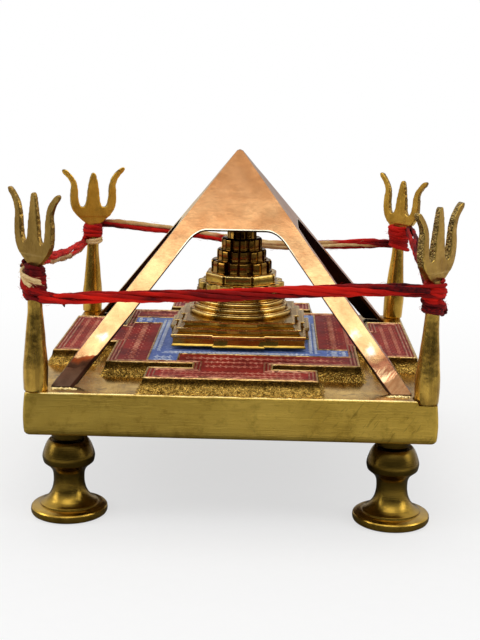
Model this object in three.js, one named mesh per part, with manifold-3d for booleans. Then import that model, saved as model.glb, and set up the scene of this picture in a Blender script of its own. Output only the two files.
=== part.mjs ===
// A vastu yantra pyramid: a cast brass plate on four turned feet, a raised and enamelled square
// diagram with four gates, a stepped Meru in its middle, an open copper pyramid standing over it,
// and four trishuls at the corners, tied together by a bundle of cotton thread.
// Millimetres, +Z up, the front looks along -Y. The origin is on the surface under the feet,
// below the middle of the plate.

import * as THREE from 'three';
import { mergeVertices } from 'three/addons/utils/BufferGeometryUtils.js';
import Module from 'manifold-3d';

const wasm = await Module();
wasm.setup();

// Clearance between pieces that touch
const GAP = 0.3;

// Plate
const PLATE_HALF = 50;
const PLATE_TOP_HALF = 49.6;
const PLATE_THICK = 10.7;
const PLATE_EDGE = 0.35;
const PLATE_FOOT_ROUND = 0.7;
const PLATE_CORNER = 0.8;
const RIM_WALL = 4.5;
const SKIN = 4.2;
const CORNER_PAD = 17.5;
const BOSS_R = 4.2;
const BOSS_DROP = 3.2;

// Feet
const FOOT_INSET = 9.6;
const FOOT_HEIGHT = 19.3;
const FOOT_DISC_R = 9.6;
const FOOT_NECK_R = 3.85;
const FOOT_BULB_R = 6.55;
const STUD_R = 1.5;
const STUD_IN_FOOT = 8;
const STUD_IN_PLATE = 7;

// Raised diagram
const RELIEF_HIGH = 3.75;
const RELIEF_DRAFT = 1.1;
const RELIEF_SINK = 0.5;
const BAR_MARGIN = 2.3;
const BAR_WIDE = 10.3;
const BAR_HALF = 21;
const SLOT_WIDE = 5;
const NECK_HALF = 10;

// Enamel
const ENAMEL_DEEP = 0.9;
const ENAMEL_THICK = 0.5;
const LINE_WIDE = 0.7;
const ARM_WIDE = 10;
const RING_WIDE = 10;
const BLOCK_LONG = 7.8;
const BLOCK_MARGIN = 2;

// Copper pyramid
const PYR_CLEAR = 3.1;
const PYR_HIGH = 55.6;
const PYR_SHEET = 0.8;
const PYR_LEG = 5.6;
const PYR_TIP_R = 0.9;
const WINDOW_HIGH = 35.3;
const WINDOW_CORNER = 3;

// Trishuls
const TRI_INSET = 2.9;
const TRI_BASE_R = 2.95;
const TRI_WAIST_R = 1.8;
const TRI_TAB = 4;
const TRI_SHOULDER = 2;
const TRI_BEVEL = 0.3;
const TRI_HEAD_LOW = 29;
const PEG_R = 1.3;
const PEG_LONG = 5;
const NOTCH_DEEP = 1.1;
const NOTCH_R = 3.3;

// Meru: it stands a little to the right of the middle, as in the photograph
const MERU_SHIFT = 0.9;
const MERU_LIFT = 0.75;
const MERU_PAD_HALF = 11;
const TIER_OUT = 0.9;
const SQUARE_TIERS = [
  { half: 17.5, middle: 6.8, high: 3.3 },
  { half: 16.2, middle: 6, high: 1.5 },
  { half: 14.6, middle: 5.2, high: 1.6 },
];
const ROUND_TIERS = [
  { radius: 14, high: 1.4 },
  { radius: 13, high: 1.4 },
  { radius: 12, high: 1.4 },
  { radius: 11.2, high: 1.4 },
];
const STAR_TIERS = [
  { points: 16, radius: 12.3, high: 1.2, turn: 0.5 },
  { points: 14, radius: 12, high: 1.9, turn: 0.5 },
  { points: 14, radius: 10.1, high: 2.5, turn: 0.5 },
  { points: 14, radius: 8.4, high: 3.2, turn: 0.5 },
  { points: 14, radius: 6.85, high: 2.9, turn: 0.5 },
  { points: 12, radius: 5.6, high: 3.1, turn: 0 },
  { points: 10, radius: 4.05, high: 2.8, turn: 0.5 },
];
const BINDU_R = 2.2;
const BINDU_HIGH = 3;
const MERU_SCREW_R = 2;
const MERU_SCREW_HEAD_R = 4;
const MERU_SCREW_HEAD = 2;
const MERU_SCREW_GRIP = 8;

// Thread
const YARN_D = 1.2;
const SPAN_D = 3.2;
const WRAP_TURNS = 3;
// Ends of each winding, measured down from the bottom of its trishul's head
const WRAPS = [
  { start: -90, under: [9.4, 2.4] },
  { start: 0, under: [9.1, 3.3] },
  { start: 90, under: [6.4, 0.8] },
  { start: 180, under: [7.6, 2] },
];
const TURN_STEPS = 24;

// Levels
const PLATE_LOW = FOOT_HEIGHT + GAP + BOSS_DROP;
const PLATE_TOP = PLATE_LOW + PLATE_THICK;
const RELIEF_TOP = PLATE_TOP + RELIEF_HIGH;
const TRI_AT = PLATE_HALF - TRI_INSET;
const FOOT_AT = PLATE_HALF - FOOT_INSET;
const PYR_HALF = TRI_AT - PYR_CLEAR;
const BAR_FAR = PLATE_TOP_HALF - BAR_MARGIN;
const BAR_NEAR = BAR_FAR - BAR_WIDE;
const SQUARE_HALF = BAR_NEAR - SLOT_WIDE;
const RING_HALF = SQUARE_HALF - ARM_WIDE;
const RING_INNER = RING_HALF - RING_WIDE;
const STUD_TOP = PLATE_LOW + STUD_IN_PLATE;

const brass = (color, roughness) => new THREE.MeshStandardMaterial({ color, roughness, metalness: 1 });
const MAT = {
  plate: brass(0x96803a, 0.42),
  foot: brass(0x8f7630, 0.3),
  trishul: brass(0x97803c, 0.4),
  meru: brass(0xa08338, 0.22),
  copper: brass(0xe0b184, 0.25),
  steel: brass(0x9a9a98, 0.4),
  red: new THREE.MeshStandardMaterial({ color: 0x8c2426, roughness: 0.4, metalness: 0 }),
  blue: new THREE.MeshStandardMaterial({ color: 0x4a5c9c, roughness: 0.4, metalness: 0 }),
  thread: new THREE.MeshStandardMaterial({ color: 0xb01818, roughness: 0.9, metalness: 0 }),
};

// Solid helpers

function toManifold(geometry) {
  const bare = geometry.clone();
  bare.deleteAttribute('normal');
  bare.deleteAttribute('uv');
  const merged = mergeVertices(bare, 1e-4);
  const mesh = new wasm.Mesh({
    numProp: 3,
    vertProperties: new Float32Array(merged.attributes.position.array),
    triVerts: new Uint32Array(merged.index.array),
  });
  return new wasm.Manifold(mesh);
}

function toGeometry(solid) {
  const mesh = solid.getMesh();
  const geometry = new THREE.BufferGeometry();
  geometry.setAttribute('position', new THREE.BufferAttribute(new Float32Array(mesh.vertProperties), 3));
  geometry.setIndex(new THREE.BufferAttribute(new Uint32Array(mesh.triVerts), 1));
  return geometry;
}

// A stack of outlines, each a list of Vector2 with the same count, joined side by side
function loft(sections) {
  const count = sections[0].points.length;
  const position = [];
  const index = [];
  for (const { points, z } of sections) {
    for (const p of points) position.push(p.x, p.y, z);
  }
  for (let s = 0; s + 1 < sections.length; s += 1) {
    for (let i = 0; i < count; i += 1) {
      const a = s * count + i;
      const b = s * count + ((i + 1) % count);
      index.push(a, b, b + count, a, b + count, a + count);
    }
  }
  const last = (sections.length - 1) * count;
  for (const [a, b, c] of THREE.ShapeUtils.triangulateShape(sections[0].points, [])) {
    index.push(c, b, a);
  }
  for (const [a, b, c] of THREE.ShapeUtils.triangulateShape(sections[sections.length - 1].points, [])) {
    index.push(last + a, last + b, last + c);
  }
  const geometry = new THREE.BufferGeometry();
  geometry.setAttribute('position', new THREE.Float32BufferAttribute(position, 3));
  geometry.setIndex(index);
  return geometry;
}

function prism(points, low, high) {
  return loft([{ points, z: low }, { points, z: high }]);
}

function lathe(profile, segments) {
  const points = profile.map(([r, z]) => new THREE.Vector2(r, z));
  return new THREE.LatheGeometry(points, segments).rotateX(Math.PI / 2);
}

function rod(radius, low, high, segments = 24) {
  return lathe([[0, low], [radius, low], [radius, high], [0, high]], segments);
}

function placed(geometry, x, y, z = 0) {
  return geometry.clone().translate(x, y, z);
}

function union(geometries) {
  return geometries.map(toManifold).reduce((a, b) => a.add(b));
}

function named(name, geometry, material) {
  const mesh = new THREE.Mesh(geometry, material);
  mesh.name = name;
  return mesh;
}

// Outlines

function square(half) {
  return rectangle(-half, half, -half, half);
}

function roundSquare(half, radius, steps = 4) {
  const points = [];
  for (let corner = 0; corner < 4; corner += 1) {
    const turn = (corner * Math.PI) / 2;
    for (let i = 0; i <= steps; i += 1) {
      const a = -Math.PI / 2 + (i / steps) * (Math.PI / 2);
      const x = half - radius + radius * Math.cos(a);
      const y = -(half - radius) + radius * Math.sin(a);
      points.push(new THREE.Vector2(x, y).rotateAround(new THREE.Vector2(0, 0), turn));
    }
  }
  return points;
}

function rectangle(x0, x1, y0, y1) {
  return [[x0, y0], [x1, y0], [x1, y1], [x0, y1]].map(([x, y]) => new THREE.Vector2(x, y));
}

// The square with its four gates, grown outwards by the draft of its walls
function gateOutline(grow) {
  const inner = SQUARE_HALF + grow;
  const neck = NECK_HALF + grow;
  const near = BAR_NEAR - grow;
  const far = BAR_FAR + grow;
  const bar = BAR_HALF + grow;
  const side = [
    [-inner, -inner], [-neck, -inner], [-neck, -near], [-bar, -near], [-bar, -far],
    [bar, -far], [bar, -near], [neck, -near], [neck, -inner],
  ];
  const points = [];
  for (let turn = 0; turn < 4; turn += 1) {
    for (const [x, y] of side) {
      points.push(new THREE.Vector2(x, y).rotateAround(new THREE.Vector2(0, 0), (turn * Math.PI) / 2));
    }
  }
  return points;
}

// One red field: the arm of the square beside a blue block, the neck and the bar of its gate
function redOutline(shrink) {
  const start = -RING_HALF + BLOCK_LONG + shrink;
  const end = SQUARE_HALF - shrink;
  const top = -(RING_HALF + shrink);
  const low = -(SQUARE_HALF - shrink);
  const neck = NECK_HALF - shrink;
  const near = -(BAR_NEAR + shrink);
  const bar = BAR_HALF - shrink;
  const far = -(BAR_FAR - shrink);
  return [
    [start, top], [start, low], [-neck, low], [-neck, near], [-bar, near], [-bar, far],
    [bar, far], [bar, near], [neck, near], [neck, low], [end, low], [end, top],
  ].map(([x, y]) => new THREE.Vector2(x, y));
}

// The blue ring with its four blocks
function blueOutline(shrink) {
  const left = -RING_HALF + shrink;
  const right = -RING_HALF + BLOCK_LONG - shrink;
  const low = -(SQUARE_HALF - BLOCK_MARGIN - shrink);
  const points = [];
  for (let turn = 0; turn < 4; turn += 1) {
    for (const [x, y] of [[left, low], [right, low], [right, -RING_HALF + shrink]]) {
      points.push(new THREE.Vector2(x, y).rotateAround(new THREE.Vector2(0, 0), (turn * Math.PI) / 2));
    }
  }
  return points;
}

// The four corners, counter-clockwise from the front left, with the sign of x and y there
const CORNERS = [
  { name: 'front_left', x: -1, y: -1 },
  { name: 'front_right', x: 1, y: -1 },
  { name: 'rear_right', x: 1, y: 1 },
  { name: 'rear_left', x: -1, y: 1 },
];

// Cast plate: bulging brushed sides, relief on top, hollow below with solid corners and bosses
function basePlate() {
  const levels = [
    [0, PLATE_HALF - PLATE_FOOT_ROUND],
    [PLATE_FOOT_ROUND, PLATE_HALF - 0.1],
    [PLATE_THICK * 0.4, PLATE_HALF],
    [PLATE_THICK * 0.75, (PLATE_HALF + PLATE_TOP_HALF) / 2],
    [PLATE_THICK - PLATE_EDGE, PLATE_TOP_HALF],
    [PLATE_THICK, PLATE_TOP_HALF - PLATE_EDGE],
  ];
  const sections = levels.map(([z, half]) => ({ points: roundSquare(half, PLATE_CORNER), z: PLATE_LOW + z }));
  const slab = loft(sections);
  const relief = loft([
    { points: gateOutline(RELIEF_DRAFT), z: PLATE_TOP - RELIEF_SINK },
    { points: gateOutline(RELIEF_DRAFT * 0.35), z: PLATE_TOP + RELIEF_HIGH * 0.6 },
    { points: gateOutline(0), z: RELIEF_TOP },
  ]);
  let plate = union([slab, relief]);
  const hollowHigh = PLATE_TOP - SKIN;
  const inner = PLATE_HALF - RIM_WALL;
  const arm = PLATE_HALF - CORNER_PAD;
  plate = plate.subtract(toManifold(prism(rectangle(-inner, inner, -arm, arm), PLATE_LOW - 1, hollowHigh)));
  plate = plate.subtract(toManifold(prism(rectangle(-arm, arm, -inner, inner), PLATE_LOW - 1, hollowHigh)));
  for (const { x, y } of CORNERS) {
    const boss = rod(BOSS_R, PLATE_LOW - BOSS_DROP, PLATE_LOW + 1, 32);
    plate = plate.add(toManifold(placed(boss, x * FOOT_AT, y * FOOT_AT)));
    const studHole = rod(STUD_R + GAP, PLATE_LOW - BOSS_DROP - 1, STUD_TOP + GAP);
    plate = plate.subtract(toManifold(placed(studHole, x * FOOT_AT, y * FOOT_AT)));
    const pegHole = rod(PEG_R + GAP, PLATE_TOP - PEG_LONG - 2 * GAP - NOTCH_DEEP, PLATE_TOP + 1);
    plate = plate.subtract(toManifold(placed(pegHole, x * TRI_AT, y * TRI_AT)));
  }
  const notch = rod(NOTCH_R, PLATE_TOP - NOTCH_DEEP, PLATE_TOP + 1, 32);
  plate = plate.subtract(toManifold(placed(notch, TRI_AT, -TRI_AT)));
  const screwHole = rod(MERU_SCREW_R + GAP, PLATE_LOW, RELIEF_TOP + 1);
  plate = plate.subtract(toManifold(placed(screwHole, MERU_SHIFT, 0)));
  for (let turn = 0; turn < 4; turn += 1) {
    const well = prism(redOutline(LINE_WIDE / 2), RELIEF_TOP - ENAMEL_DEEP, RELIEF_TOP + 1);
    plate = plate.subtract(toManifold(well.rotateZ((turn * Math.PI) / 2)));
  }
  const ringWell = toManifold(prism(blueOutline(LINE_WIDE / 2), RELIEF_TOP - ENAMEL_DEEP, RELIEF_TOP + 1));
  const island = toManifold(prism(square(RING_INNER), RELIEF_TOP - ENAMEL_DEEP - 1, RELIEF_TOP + 2));
  plate = plate.subtract(ringWell.subtract(island));
  return named('base_plate', toGeometry(plate), MAT.plate);
}

// Enamel fills, each in its recess with a small gap to the metal
function enamel() {
  const low = RELIEF_TOP - ENAMEL_DEEP + GAP;
  const high = low + ENAMEL_THICK;
  const shrink = LINE_WIDE / 2 + GAP;
  const pieces = ['front', 'right', 'rear', 'left'].map((side, turn) => {
    const field = prism(redOutline(shrink), low, high).rotateZ((turn * Math.PI) / 2);
    return named(`enamel_red_${side}`, field, MAT.red);
  });
  const ring = toManifold(prism(blueOutline(shrink), low, high));
  const island = toManifold(prism(square(RING_INNER + GAP), low - 1, high + 1));
  pieces.push(named('enamel_blue_ring', toGeometry(ring.subtract(island)), MAT.blue));
  return pieces;
}

// A turned foot: stepped disc, flare, neck, bulb, with a blind hole for its stud
function foot({ name, x, y }) {
  const hole = STUD_R + GAP;
  const floor = FOOT_HEIGHT - STUD_IN_FOOT - GAP;
  const profile = [
    [0, 0], [FOOT_DISC_R - 0.7, 0], [FOOT_DISC_R, 0.8], [FOOT_DISC_R - 0.1, 1.9], [FOOT_DISC_R - 2.2, 2.5],
    [FOOT_DISC_R - 2.5, 3.1], [FOOT_NECK_R + 2, 4], [FOOT_NECK_R + 0.95, 5.2], [FOOT_NECK_R + 0.4, 6.5],
    [FOOT_NECK_R, 8.6], [FOOT_NECK_R + 0.05, 10.4], [FOOT_NECK_R + 0.4, 11.6], [FOOT_BULB_R - 1.5, 12.5],
    [FOOT_BULB_R - 0.35, 13.6], [FOOT_BULB_R, 14.7], [FOOT_BULB_R - 0.5, 17], [FOOT_BULB_R - 1.1, 18.4],
    [FOOT_BULB_R - 1.7, FOOT_HEIGHT], [hole, FOOT_HEIGHT], [hole, floor], [0, floor],
  ];
  const mesh = named(`foot_${name}`, lathe(profile, 24), MAT.foot);
  mesh.position.set(x * FOOT_AT, y * FOOT_AT, 0);
  return mesh;
}

function stud({ name, x, y }) {
  const mesh = named(`foot_stud_${name}`, rod(STUD_R, FOOT_HEIGHT - STUD_IN_FOOT, STUD_TOP), MAT.steel);
  mesh.position.set(x * FOOT_AT, y * FOOT_AT, 0);
  return mesh;
}

// How each trishul stands: its turn and lean in degrees, how far its head is above the lowest one,
// how deep its foot is let into the plate, how thick its head is, and how long its left, middle and
// right tines came out
const TRISHULS = [
  { turn: -42, lean: 0.5, rise: 3.2, sunk: 0, thick: 1.35, tines: [-0.3, -0.6, -0.7] },
  { turn: 50, lean: 1.2, rise: 2.2, sunk: NOTCH_DEEP, thick: 1.95, tines: [-1.1, 0, 0.2] },
  { turn: -48, lean: 2.4, rise: -0.4, sunk: 0, thick: 1.35, tines: [-1, -2.2, -1.8] },
  { turn: 18, lean: 1, rise: 0, sunk: 0, thick: 1.5, tines: [-1.3, -2, -0.6] },
];

const neckHeight = ({ rise }) => TRI_HEAD_LOW + rise;
const standLevel = ({ sunk }) => PLATE_TOP + GAP - sunk;

// The head widens just above its winding, at most TRI_SHOULDER below the neck
const shoulderLevel = ({ under }) => Math.max(-TRI_SHOULDER, GAP + YARN_D / 2 - under[1]);

// Half of the head's outline from the shoulder out round a side tine to the middle one, x then z,
// as the corner and end points of curves; `tall` lengthens the tine, and `mid` the middle one
function headHalf(shoulder, tall, mid) {
  return [
    [[3.3, shoulder / 2], [4.9, 0.5]],
    [[6.9, 2.3], [7.1, 5.2]],
    [[7.2, 8], [6.9, 10.4 + tall / 2]],
    [[7.1, 13 + tall], [9.4, 14.9 + tall]],
    [[10.2, 16.2 + tall], [9.2, 16.3 + tall]],
    [[8, 16.2 + tall], [6, 13.6 + tall]],
    [[4.8, 11.5 + tall / 2], [4.7, 7.5]],
    [[4.6, 3.5], [3.4, 3.4]],
    [[2.2, 3.4], [2.05, 5.8]],
    [[1.7, 10], [0.95, 14.6 + mid]],
    [[0.7, 16 + mid], [0, 16 + mid]],
  ];
}

function headShape([left, middle, right], shoulder) {
  const shape = new THREE.Shape();
  shape.moveTo(-TRI_WAIST_R, -TRI_TAB);
  shape.lineTo(TRI_WAIST_R, -TRI_TAB);
  shape.lineTo(TRI_WAIST_R, shoulder);
  headHalf(shoulder, right, middle).forEach(([c, p]) => shape.quadraticCurveTo(c[0], c[1], p[0], p[1]));
  const back = headHalf(shoulder, left, middle);
  for (let i = back.length - 1; i >= 0; i -= 1) {
    const [control] = back[i];
    const end = i > 0 ? back[i - 1][1] : [TRI_WAIST_R, shoulder];
    shape.quadraticCurveTo(-control[0], control[1], -end[0], end[1]);
  }
  shape.closePath();
  return shape;
}

// A trishul: round tapered post with a peg below, flat three-tined head above
function trishul({ name, x, y }, setting, wrap) {
  const neck = neckHeight(setting);
  const profile = [
    [0, -PEG_LONG], [PEG_R, -PEG_LONG], [PEG_R, 0], [TRI_BASE_R - 0.15, 0], [TRI_BASE_R, 0.5],
    [TRI_BASE_R + 0.1, 5.5], [TRI_BASE_R - 0.3, 10], [TRI_BASE_R - 0.7, 14.5], [TRI_WAIST_R, 20],
    [TRI_WAIST_R, neck - TRI_TAB + 1], [TRI_WAIST_R - 0.6, neck - 1], [0, neck + 0.5],
  ];
  const head = new THREE.ExtrudeGeometry(headShape(setting.tines, shoulderLevel(wrap)), {
    depth: setting.thick - 2 * TRI_BEVEL, curveSegments: 3, bevelEnabled: true, bevelSegments: 1,
    bevelThickness: TRI_BEVEL, bevelSize: TRI_BEVEL, bevelOffset: -TRI_BEVEL,
  });
  head.translate(0, 0, TRI_BEVEL - setting.thick / 2).rotateX(Math.PI / 2).translate(0, 0, neck);
  const solid = union([lathe(profile, 18), head]);
  const mesh = named(`trishul_${name}`, toGeometry(solid), MAT.trishul);
  mesh.position.set(x * TRI_AT, y * TRI_AT, standLevel(setting));
  const lean = THREE.MathUtils.degToRad(setting.lean);
  mesh.rotation.set(0, lean, THREE.MathUtils.degToRad(setting.turn), 'YZX');
  return mesh;
}

// Copper pyramid: one thin sheet folded along its edges, each face open below the cap
function pyramidShell(half, high, tip) {
  const rise = high / half;
  return loft([
    { points: square(half), z: 0 },
    { points: square(tip), z: high - tip * rise },
    { points: square(tip * 0.55), z: high - tip * 0.75 },
    { points: square(tip * 0.15), z: high - tip * 0.6 },
  ]);
}

function windowShape() {
  const edge = (z) => PYR_HALF * (1 - z / PYR_HIGH) - PYR_LEG;
  const slope = PYR_HALF / PYR_HIGH;
  const shape = new THREE.Shape();
  shape.moveTo(-edge(-2), -2);
  shape.lineTo(edge(-2), -2);
  shape.lineTo(edge(WINDOW_HIGH) + slope * WINDOW_CORNER, WINDOW_HIGH - WINDOW_CORNER);
  shape.quadraticCurveTo(edge(WINDOW_HIGH), WINDOW_HIGH, edge(WINDOW_HIGH) - WINDOW_CORNER, WINDOW_HIGH);
  shape.lineTo(-edge(WINDOW_HIGH) + WINDOW_CORNER, WINDOW_HIGH);
  shape.quadraticCurveTo(-edge(WINDOW_HIGH), WINDOW_HIGH, -edge(WINDOW_HIGH) - slope * WINDOW_CORNER,
    WINDOW_HIGH - WINDOW_CORNER);
  shape.closePath();
  return shape;
}

function copperPyramid() {
  const slant = Math.hypot(PYR_HALF, PYR_HIGH);
  const inset = (PYR_SHEET * slant) / PYR_HIGH;
  const drop = (PYR_SHEET * slant) / PYR_HALF;
  const below = (PYR_HALF - inset + 1) / (PYR_HALF - inset);
  const inner = pyramidShell((PYR_HALF - inset) * below, (PYR_HIGH - drop) * below, PYR_SHEET / 2)
    .translate(0, 0, (PYR_HIGH - drop) * (1 - below));
  let frame = toManifold(pyramidShell(PYR_HALF, PYR_HIGH, PYR_TIP_R)).subtract(toManifold(inner));
  const hole = new THREE.ExtrudeGeometry(windowShape(), {
    depth: 3 * PYR_HALF, bevelEnabled: false, curveSegments: 5,
  });
  hole.rotateX(Math.PI / 2).translate(0, 1.5 * PYR_HALF, 0);
  frame = frame.subtract(toManifold(hole)).subtract(toManifold(hole.clone().rotateZ(Math.PI / 2)));
  const mesh = named('copper_pyramid', toGeometry(frame), MAT.copper);
  mesh.position.z = PLATE_TOP + GAP;
  return mesh;
}

// Meru: square tiers with a projecting middle, round rings, then star tiers
function tierOutline(half, middle, out) {
  const points = [];
  for (let turn = 0; turn < 4; turn += 1) {
    for (const [x, y] of [[-half, -half], [-middle, -half], [-middle, -half - out], [middle, -half - out],
      [middle, -half]]) {
      points.push(new THREE.Vector2(x, y).rotateAround(new THREE.Vector2(0, 0), (turn * Math.PI) / 2));
    }
  }
  return points;
}

// Wide blocks round a circle with narrow grooves between them, `turn` steps round from the front
function starOutline(points, turn, outer, inner) {
  const outline = [];
  const step = (2 * Math.PI) / points;
  for (let i = 0; i < points; i += 1) {
    const at = -Math.PI / 2 + (i + turn) * step;
    for (const [share, radius] of [[-0.34, outer], [0.34, outer], [0.5, inner]]) {
      const angle = at + share * step;
      outline.push(new THREE.Vector2(radius * Math.cos(angle), radius * Math.sin(angle)));
    }
  }
  return outline;
}

// Each tier starts a little inside the one below it, so that they join to one casting
const TIER_BITE = 0.2;

function meru() {
  const pieces = [];
  let z = RELIEF_HIGH + MERU_LIFT;
  pieces.push(prism(square(MERU_PAD_HALF), RELIEF_HIGH + GAP, z + TIER_BITE));
  for (const { half, middle, high } of SQUARE_TIERS) {
    pieces.push(loft([
      { points: tierOutline(half + 0.3, middle, TIER_OUT), z: z - TIER_BITE * (pieces.length > 1) },
      { points: tierOutline(half, middle - 0.3, TIER_OUT), z: z + high },
    ]));
    z += high;
  }
  for (const { radius, high } of ROUND_TIERS) {
    const low = z - TIER_BITE;
    z += high;
    pieces.push(lathe([[0, low], [radius, low], [radius, z - 0.5], [radius - 0.5, z], [0, z]], 36));
  }
  for (const { points, radius, high, turn } of STAR_TIERS) {
    pieces.push(loft([
      { points: starOutline(points, turn, radius, radius * 0.85), z: z - TIER_BITE },
      { points: starOutline(points, turn, radius * 0.97, radius * 0.82), z: z + high },
    ]));
    z += high;
  }
  const bindu = [
    [0, z - TIER_BITE], [BINDU_R, z - TIER_BITE], [BINDU_R, z + BINDU_HIGH / 2], [0, z + BINDU_HIGH],
  ];
  pieces.push(lathe(bindu, 12));
  const bore = rod(MERU_SCREW_R + GAP, 0, RELIEF_HIGH + MERU_SCREW_GRIP + 2 * GAP);
  const solid = union(pieces).subtract(toManifold(bore));
  const mesh = named('meru_yantra', toGeometry(solid), MAT.meru);
  mesh.position.set(MERU_SHIFT, 0, PLATE_TOP);
  return mesh;
}

function meruScrew() {
  const seat = PLATE_TOP - SKIN - GAP;
  const profile = [
    [0, seat - MERU_SCREW_HEAD], [MERU_SCREW_HEAD_R - 0.5, seat - MERU_SCREW_HEAD],
    [MERU_SCREW_HEAD_R, seat - MERU_SCREW_HEAD + 0.5], [MERU_SCREW_HEAD_R, seat], [MERU_SCREW_R, seat],
    [MERU_SCREW_R, RELIEF_TOP + MERU_SCREW_GRIP], [0, RELIEF_TOP + MERU_SCREW_GRIP],
  ];
  const mesh = named('meru_screw', lathe(profile, 24), MAT.steel);
  mesh.position.x = MERU_SHIFT;
  return mesh;
}

// Thread. Each winding starts at angle `start` and turns clockwise seen from above.
const WRAP_R = TRI_WAIST_R + GAP + YARN_D / 2;
const WRAP_TAIL = WRAP_R + YARN_D;
const winding = WRAPS.map(({ start, under }, i) => {
  const head = neckHeight(TRISHULS[i]);
  return { start, low: head - under[0], high: head - under[1] };
});

// A closed tube through points, its section turned with as little twist as possible
function tube(points, radius, sides) {
  const position = [];
  const index = [];
  const tangent = new THREE.Vector3();
  let normal = new THREE.Vector3();
  points.forEach((p, i) => {
    tangent.subVectors(points[Math.min(i + 1, points.length - 1)], points[Math.max(i - 1, 0)]).normalize();
    if (i === 0) normal.set(0, 0, 1);
    normal.addScaledVector(tangent, -normal.dot(tangent)).normalize();
    const side = new THREE.Vector3().crossVectors(tangent, normal);
    for (let k = 0; k < sides; k += 1) {
      const a = (2 * Math.PI * k) / sides;
      const q = p.clone().addScaledVector(normal, radius * Math.cos(a));
      q.addScaledVector(side, radius * Math.sin(a));
      position.push(q.x, q.y, q.z);
    }
  });
  for (let i = 0; i + 1 < points.length; i += 1) {
    for (let k = 0; k < sides; k += 1) {
      const a = i * sides + k;
      const b = i * sides + ((k + 1) % sides);
      index.push(a, b, b + sides, a, b + sides, a + sides);
    }
  }
  const last = (points.length - 1) * sides;
  for (let k = 1; k + 1 < sides; k += 1) {
    index.push(0, k + 1, k, last, last + k, last + k + 1);
  }
  const geometry = new THREE.BufferGeometry();
  geometry.setAttribute('position', new THREE.Float32BufferAttribute(position, 3));
  geometry.setIndex(index);
  return geometry;
}

function wrapPoints({ start, low, high }) {
  const turns = WRAP_TURNS + 0.25;
  const steps = Math.round(turns * TURN_STEPS);
  const points = [];
  const at = (a, z) => new THREE.Vector3(WRAP_R * Math.cos(a), WRAP_R * Math.sin(a), z);
  const first = THREE.MathUtils.degToRad(start);
  const tail = new THREE.Vector3(-Math.sin(first), Math.cos(first), 0).multiplyScalar(WRAP_TAIL);
  points.push(at(first, low).add(tail));
  for (let i = 0; i <= steps; i += 1) {
    points.push(at(first - (2 * Math.PI * turns * i) / steps, low + ((high - low) * i) / steps));
  }
  const end = first - 2 * Math.PI * turns;
  const lead = new THREE.Vector3(Math.sin(end), -Math.cos(end), 0).multiplyScalar(WRAP_TAIL);
  points.push(at(end, high).add(lead));
  return points;
}

function leastGap(points) {
  let least = Infinity;
  points.forEach((p, i) => {
    for (let j = i + Math.round(TURN_STEPS / 2); j < points.length; j += 1) {
      least = Math.min(least, p.distanceTo(points[j]));
    }
  });
  return least - YARN_D;
}

function threadWrap({ name, x, y }, wrap, setting) {
  const points = wrapPoints(wrap);
  console.log(`thread_wrap_${name}: least gap to itself ${leastGap(points).toFixed(2)} mm`);
  const mesh = named(`thread_wrap_${name}`, tube(points, YARN_D / 2, 6), MAT.thread);
  mesh.position.set(x * TRI_AT, y * TRI_AT, standLevel(setting));
  mesh.rotation.y = THREE.MathUtils.degToRad(setting.lean);
  return mesh;
}

// Each stretch runs from the lower end of one winding to the upper end of the next. `dip` is how far it
// hangs below the straight line at equal steps between them, chosen by eye
const SPANS = [
  { name: 'front', from: 0, to: 1, dip: [-0.2, 0, 0.1, 0, -0.2] },
  { name: 'right', from: 1, to: 2, dip: [0.6, 0.9, 1, 0.8, 0.4] },
  { name: 'rear', from: 2, to: 3, dip: [1.3, 2.6, 2.6, 1.6, 0.5] },
  { name: 'left', from: 3, to: 0, dip: [0.8, 1.2, 1.2, 0.8, 0.3] },
];

// Where an end of winding i comes to, -1 for its high end and 0 for its low one
function windingEnd(i, which) {
  const { x, y } = CORNERS[i];
  const lean = THREE.MathUtils.degToRad(TRISHULS[i].lean);
  const end = wrapPoints(winding[i]).at(which).applyAxisAngle(new THREE.Vector3(0, 1, 0), lean);
  return end.add(new THREE.Vector3(x * TRI_AT, y * TRI_AT, standLevel(TRISHULS[i])));
}

function threadSpan({ name, from, to, dip }, turn) {
  const along = new THREE.Vector3(1, 0, 0).applyAxisAngle(new THREE.Vector3(0, 0, 1), (turn * Math.PI) / 2);
  const start = windingEnd(from, 0).addScaledVector(along, GAP);
  const end = windingEnd(to, -1).addScaledVector(along, -GAP);
  const first = start.clone().addScaledVector(along, SPAN_D);
  const last = end.clone().addScaledVector(along, -SPAN_D);
  const down = new THREE.Vector3(0, 0, -1);
  const between = dip.map((d, i) => {
    const share = (i + 1) / (dip.length + 1);
    return first.clone().lerp(last, share).addScaledVector(down, d);
  });
  const curve = new THREE.CatmullRomCurve3([start, first, ...between, last, end]);
  return named(`thread_span_${name}`, tube(curve.getPoints(28), SPAN_D / 2, 8), MAT.thread);
}

const group = new THREE.Group();
group.add(basePlate(), ...enamel(), copperPyramid(), meru(), meruScrew());
CORNERS.forEach((corner, i) => {
  group.add(foot(corner), stud(corner), trishul(corner, TRISHULS[i], WRAPS[i]));
  group.add(threadWrap(corner, winding[i], TRISHULS[i]));
});
SPANS.forEach((span, turn) => group.add(threadSpan(span, turn)));

export default group;
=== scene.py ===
import math
import random

import bpy
import numpy as np
from mathutils import Matrix, Vector, geometry, noise


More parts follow.
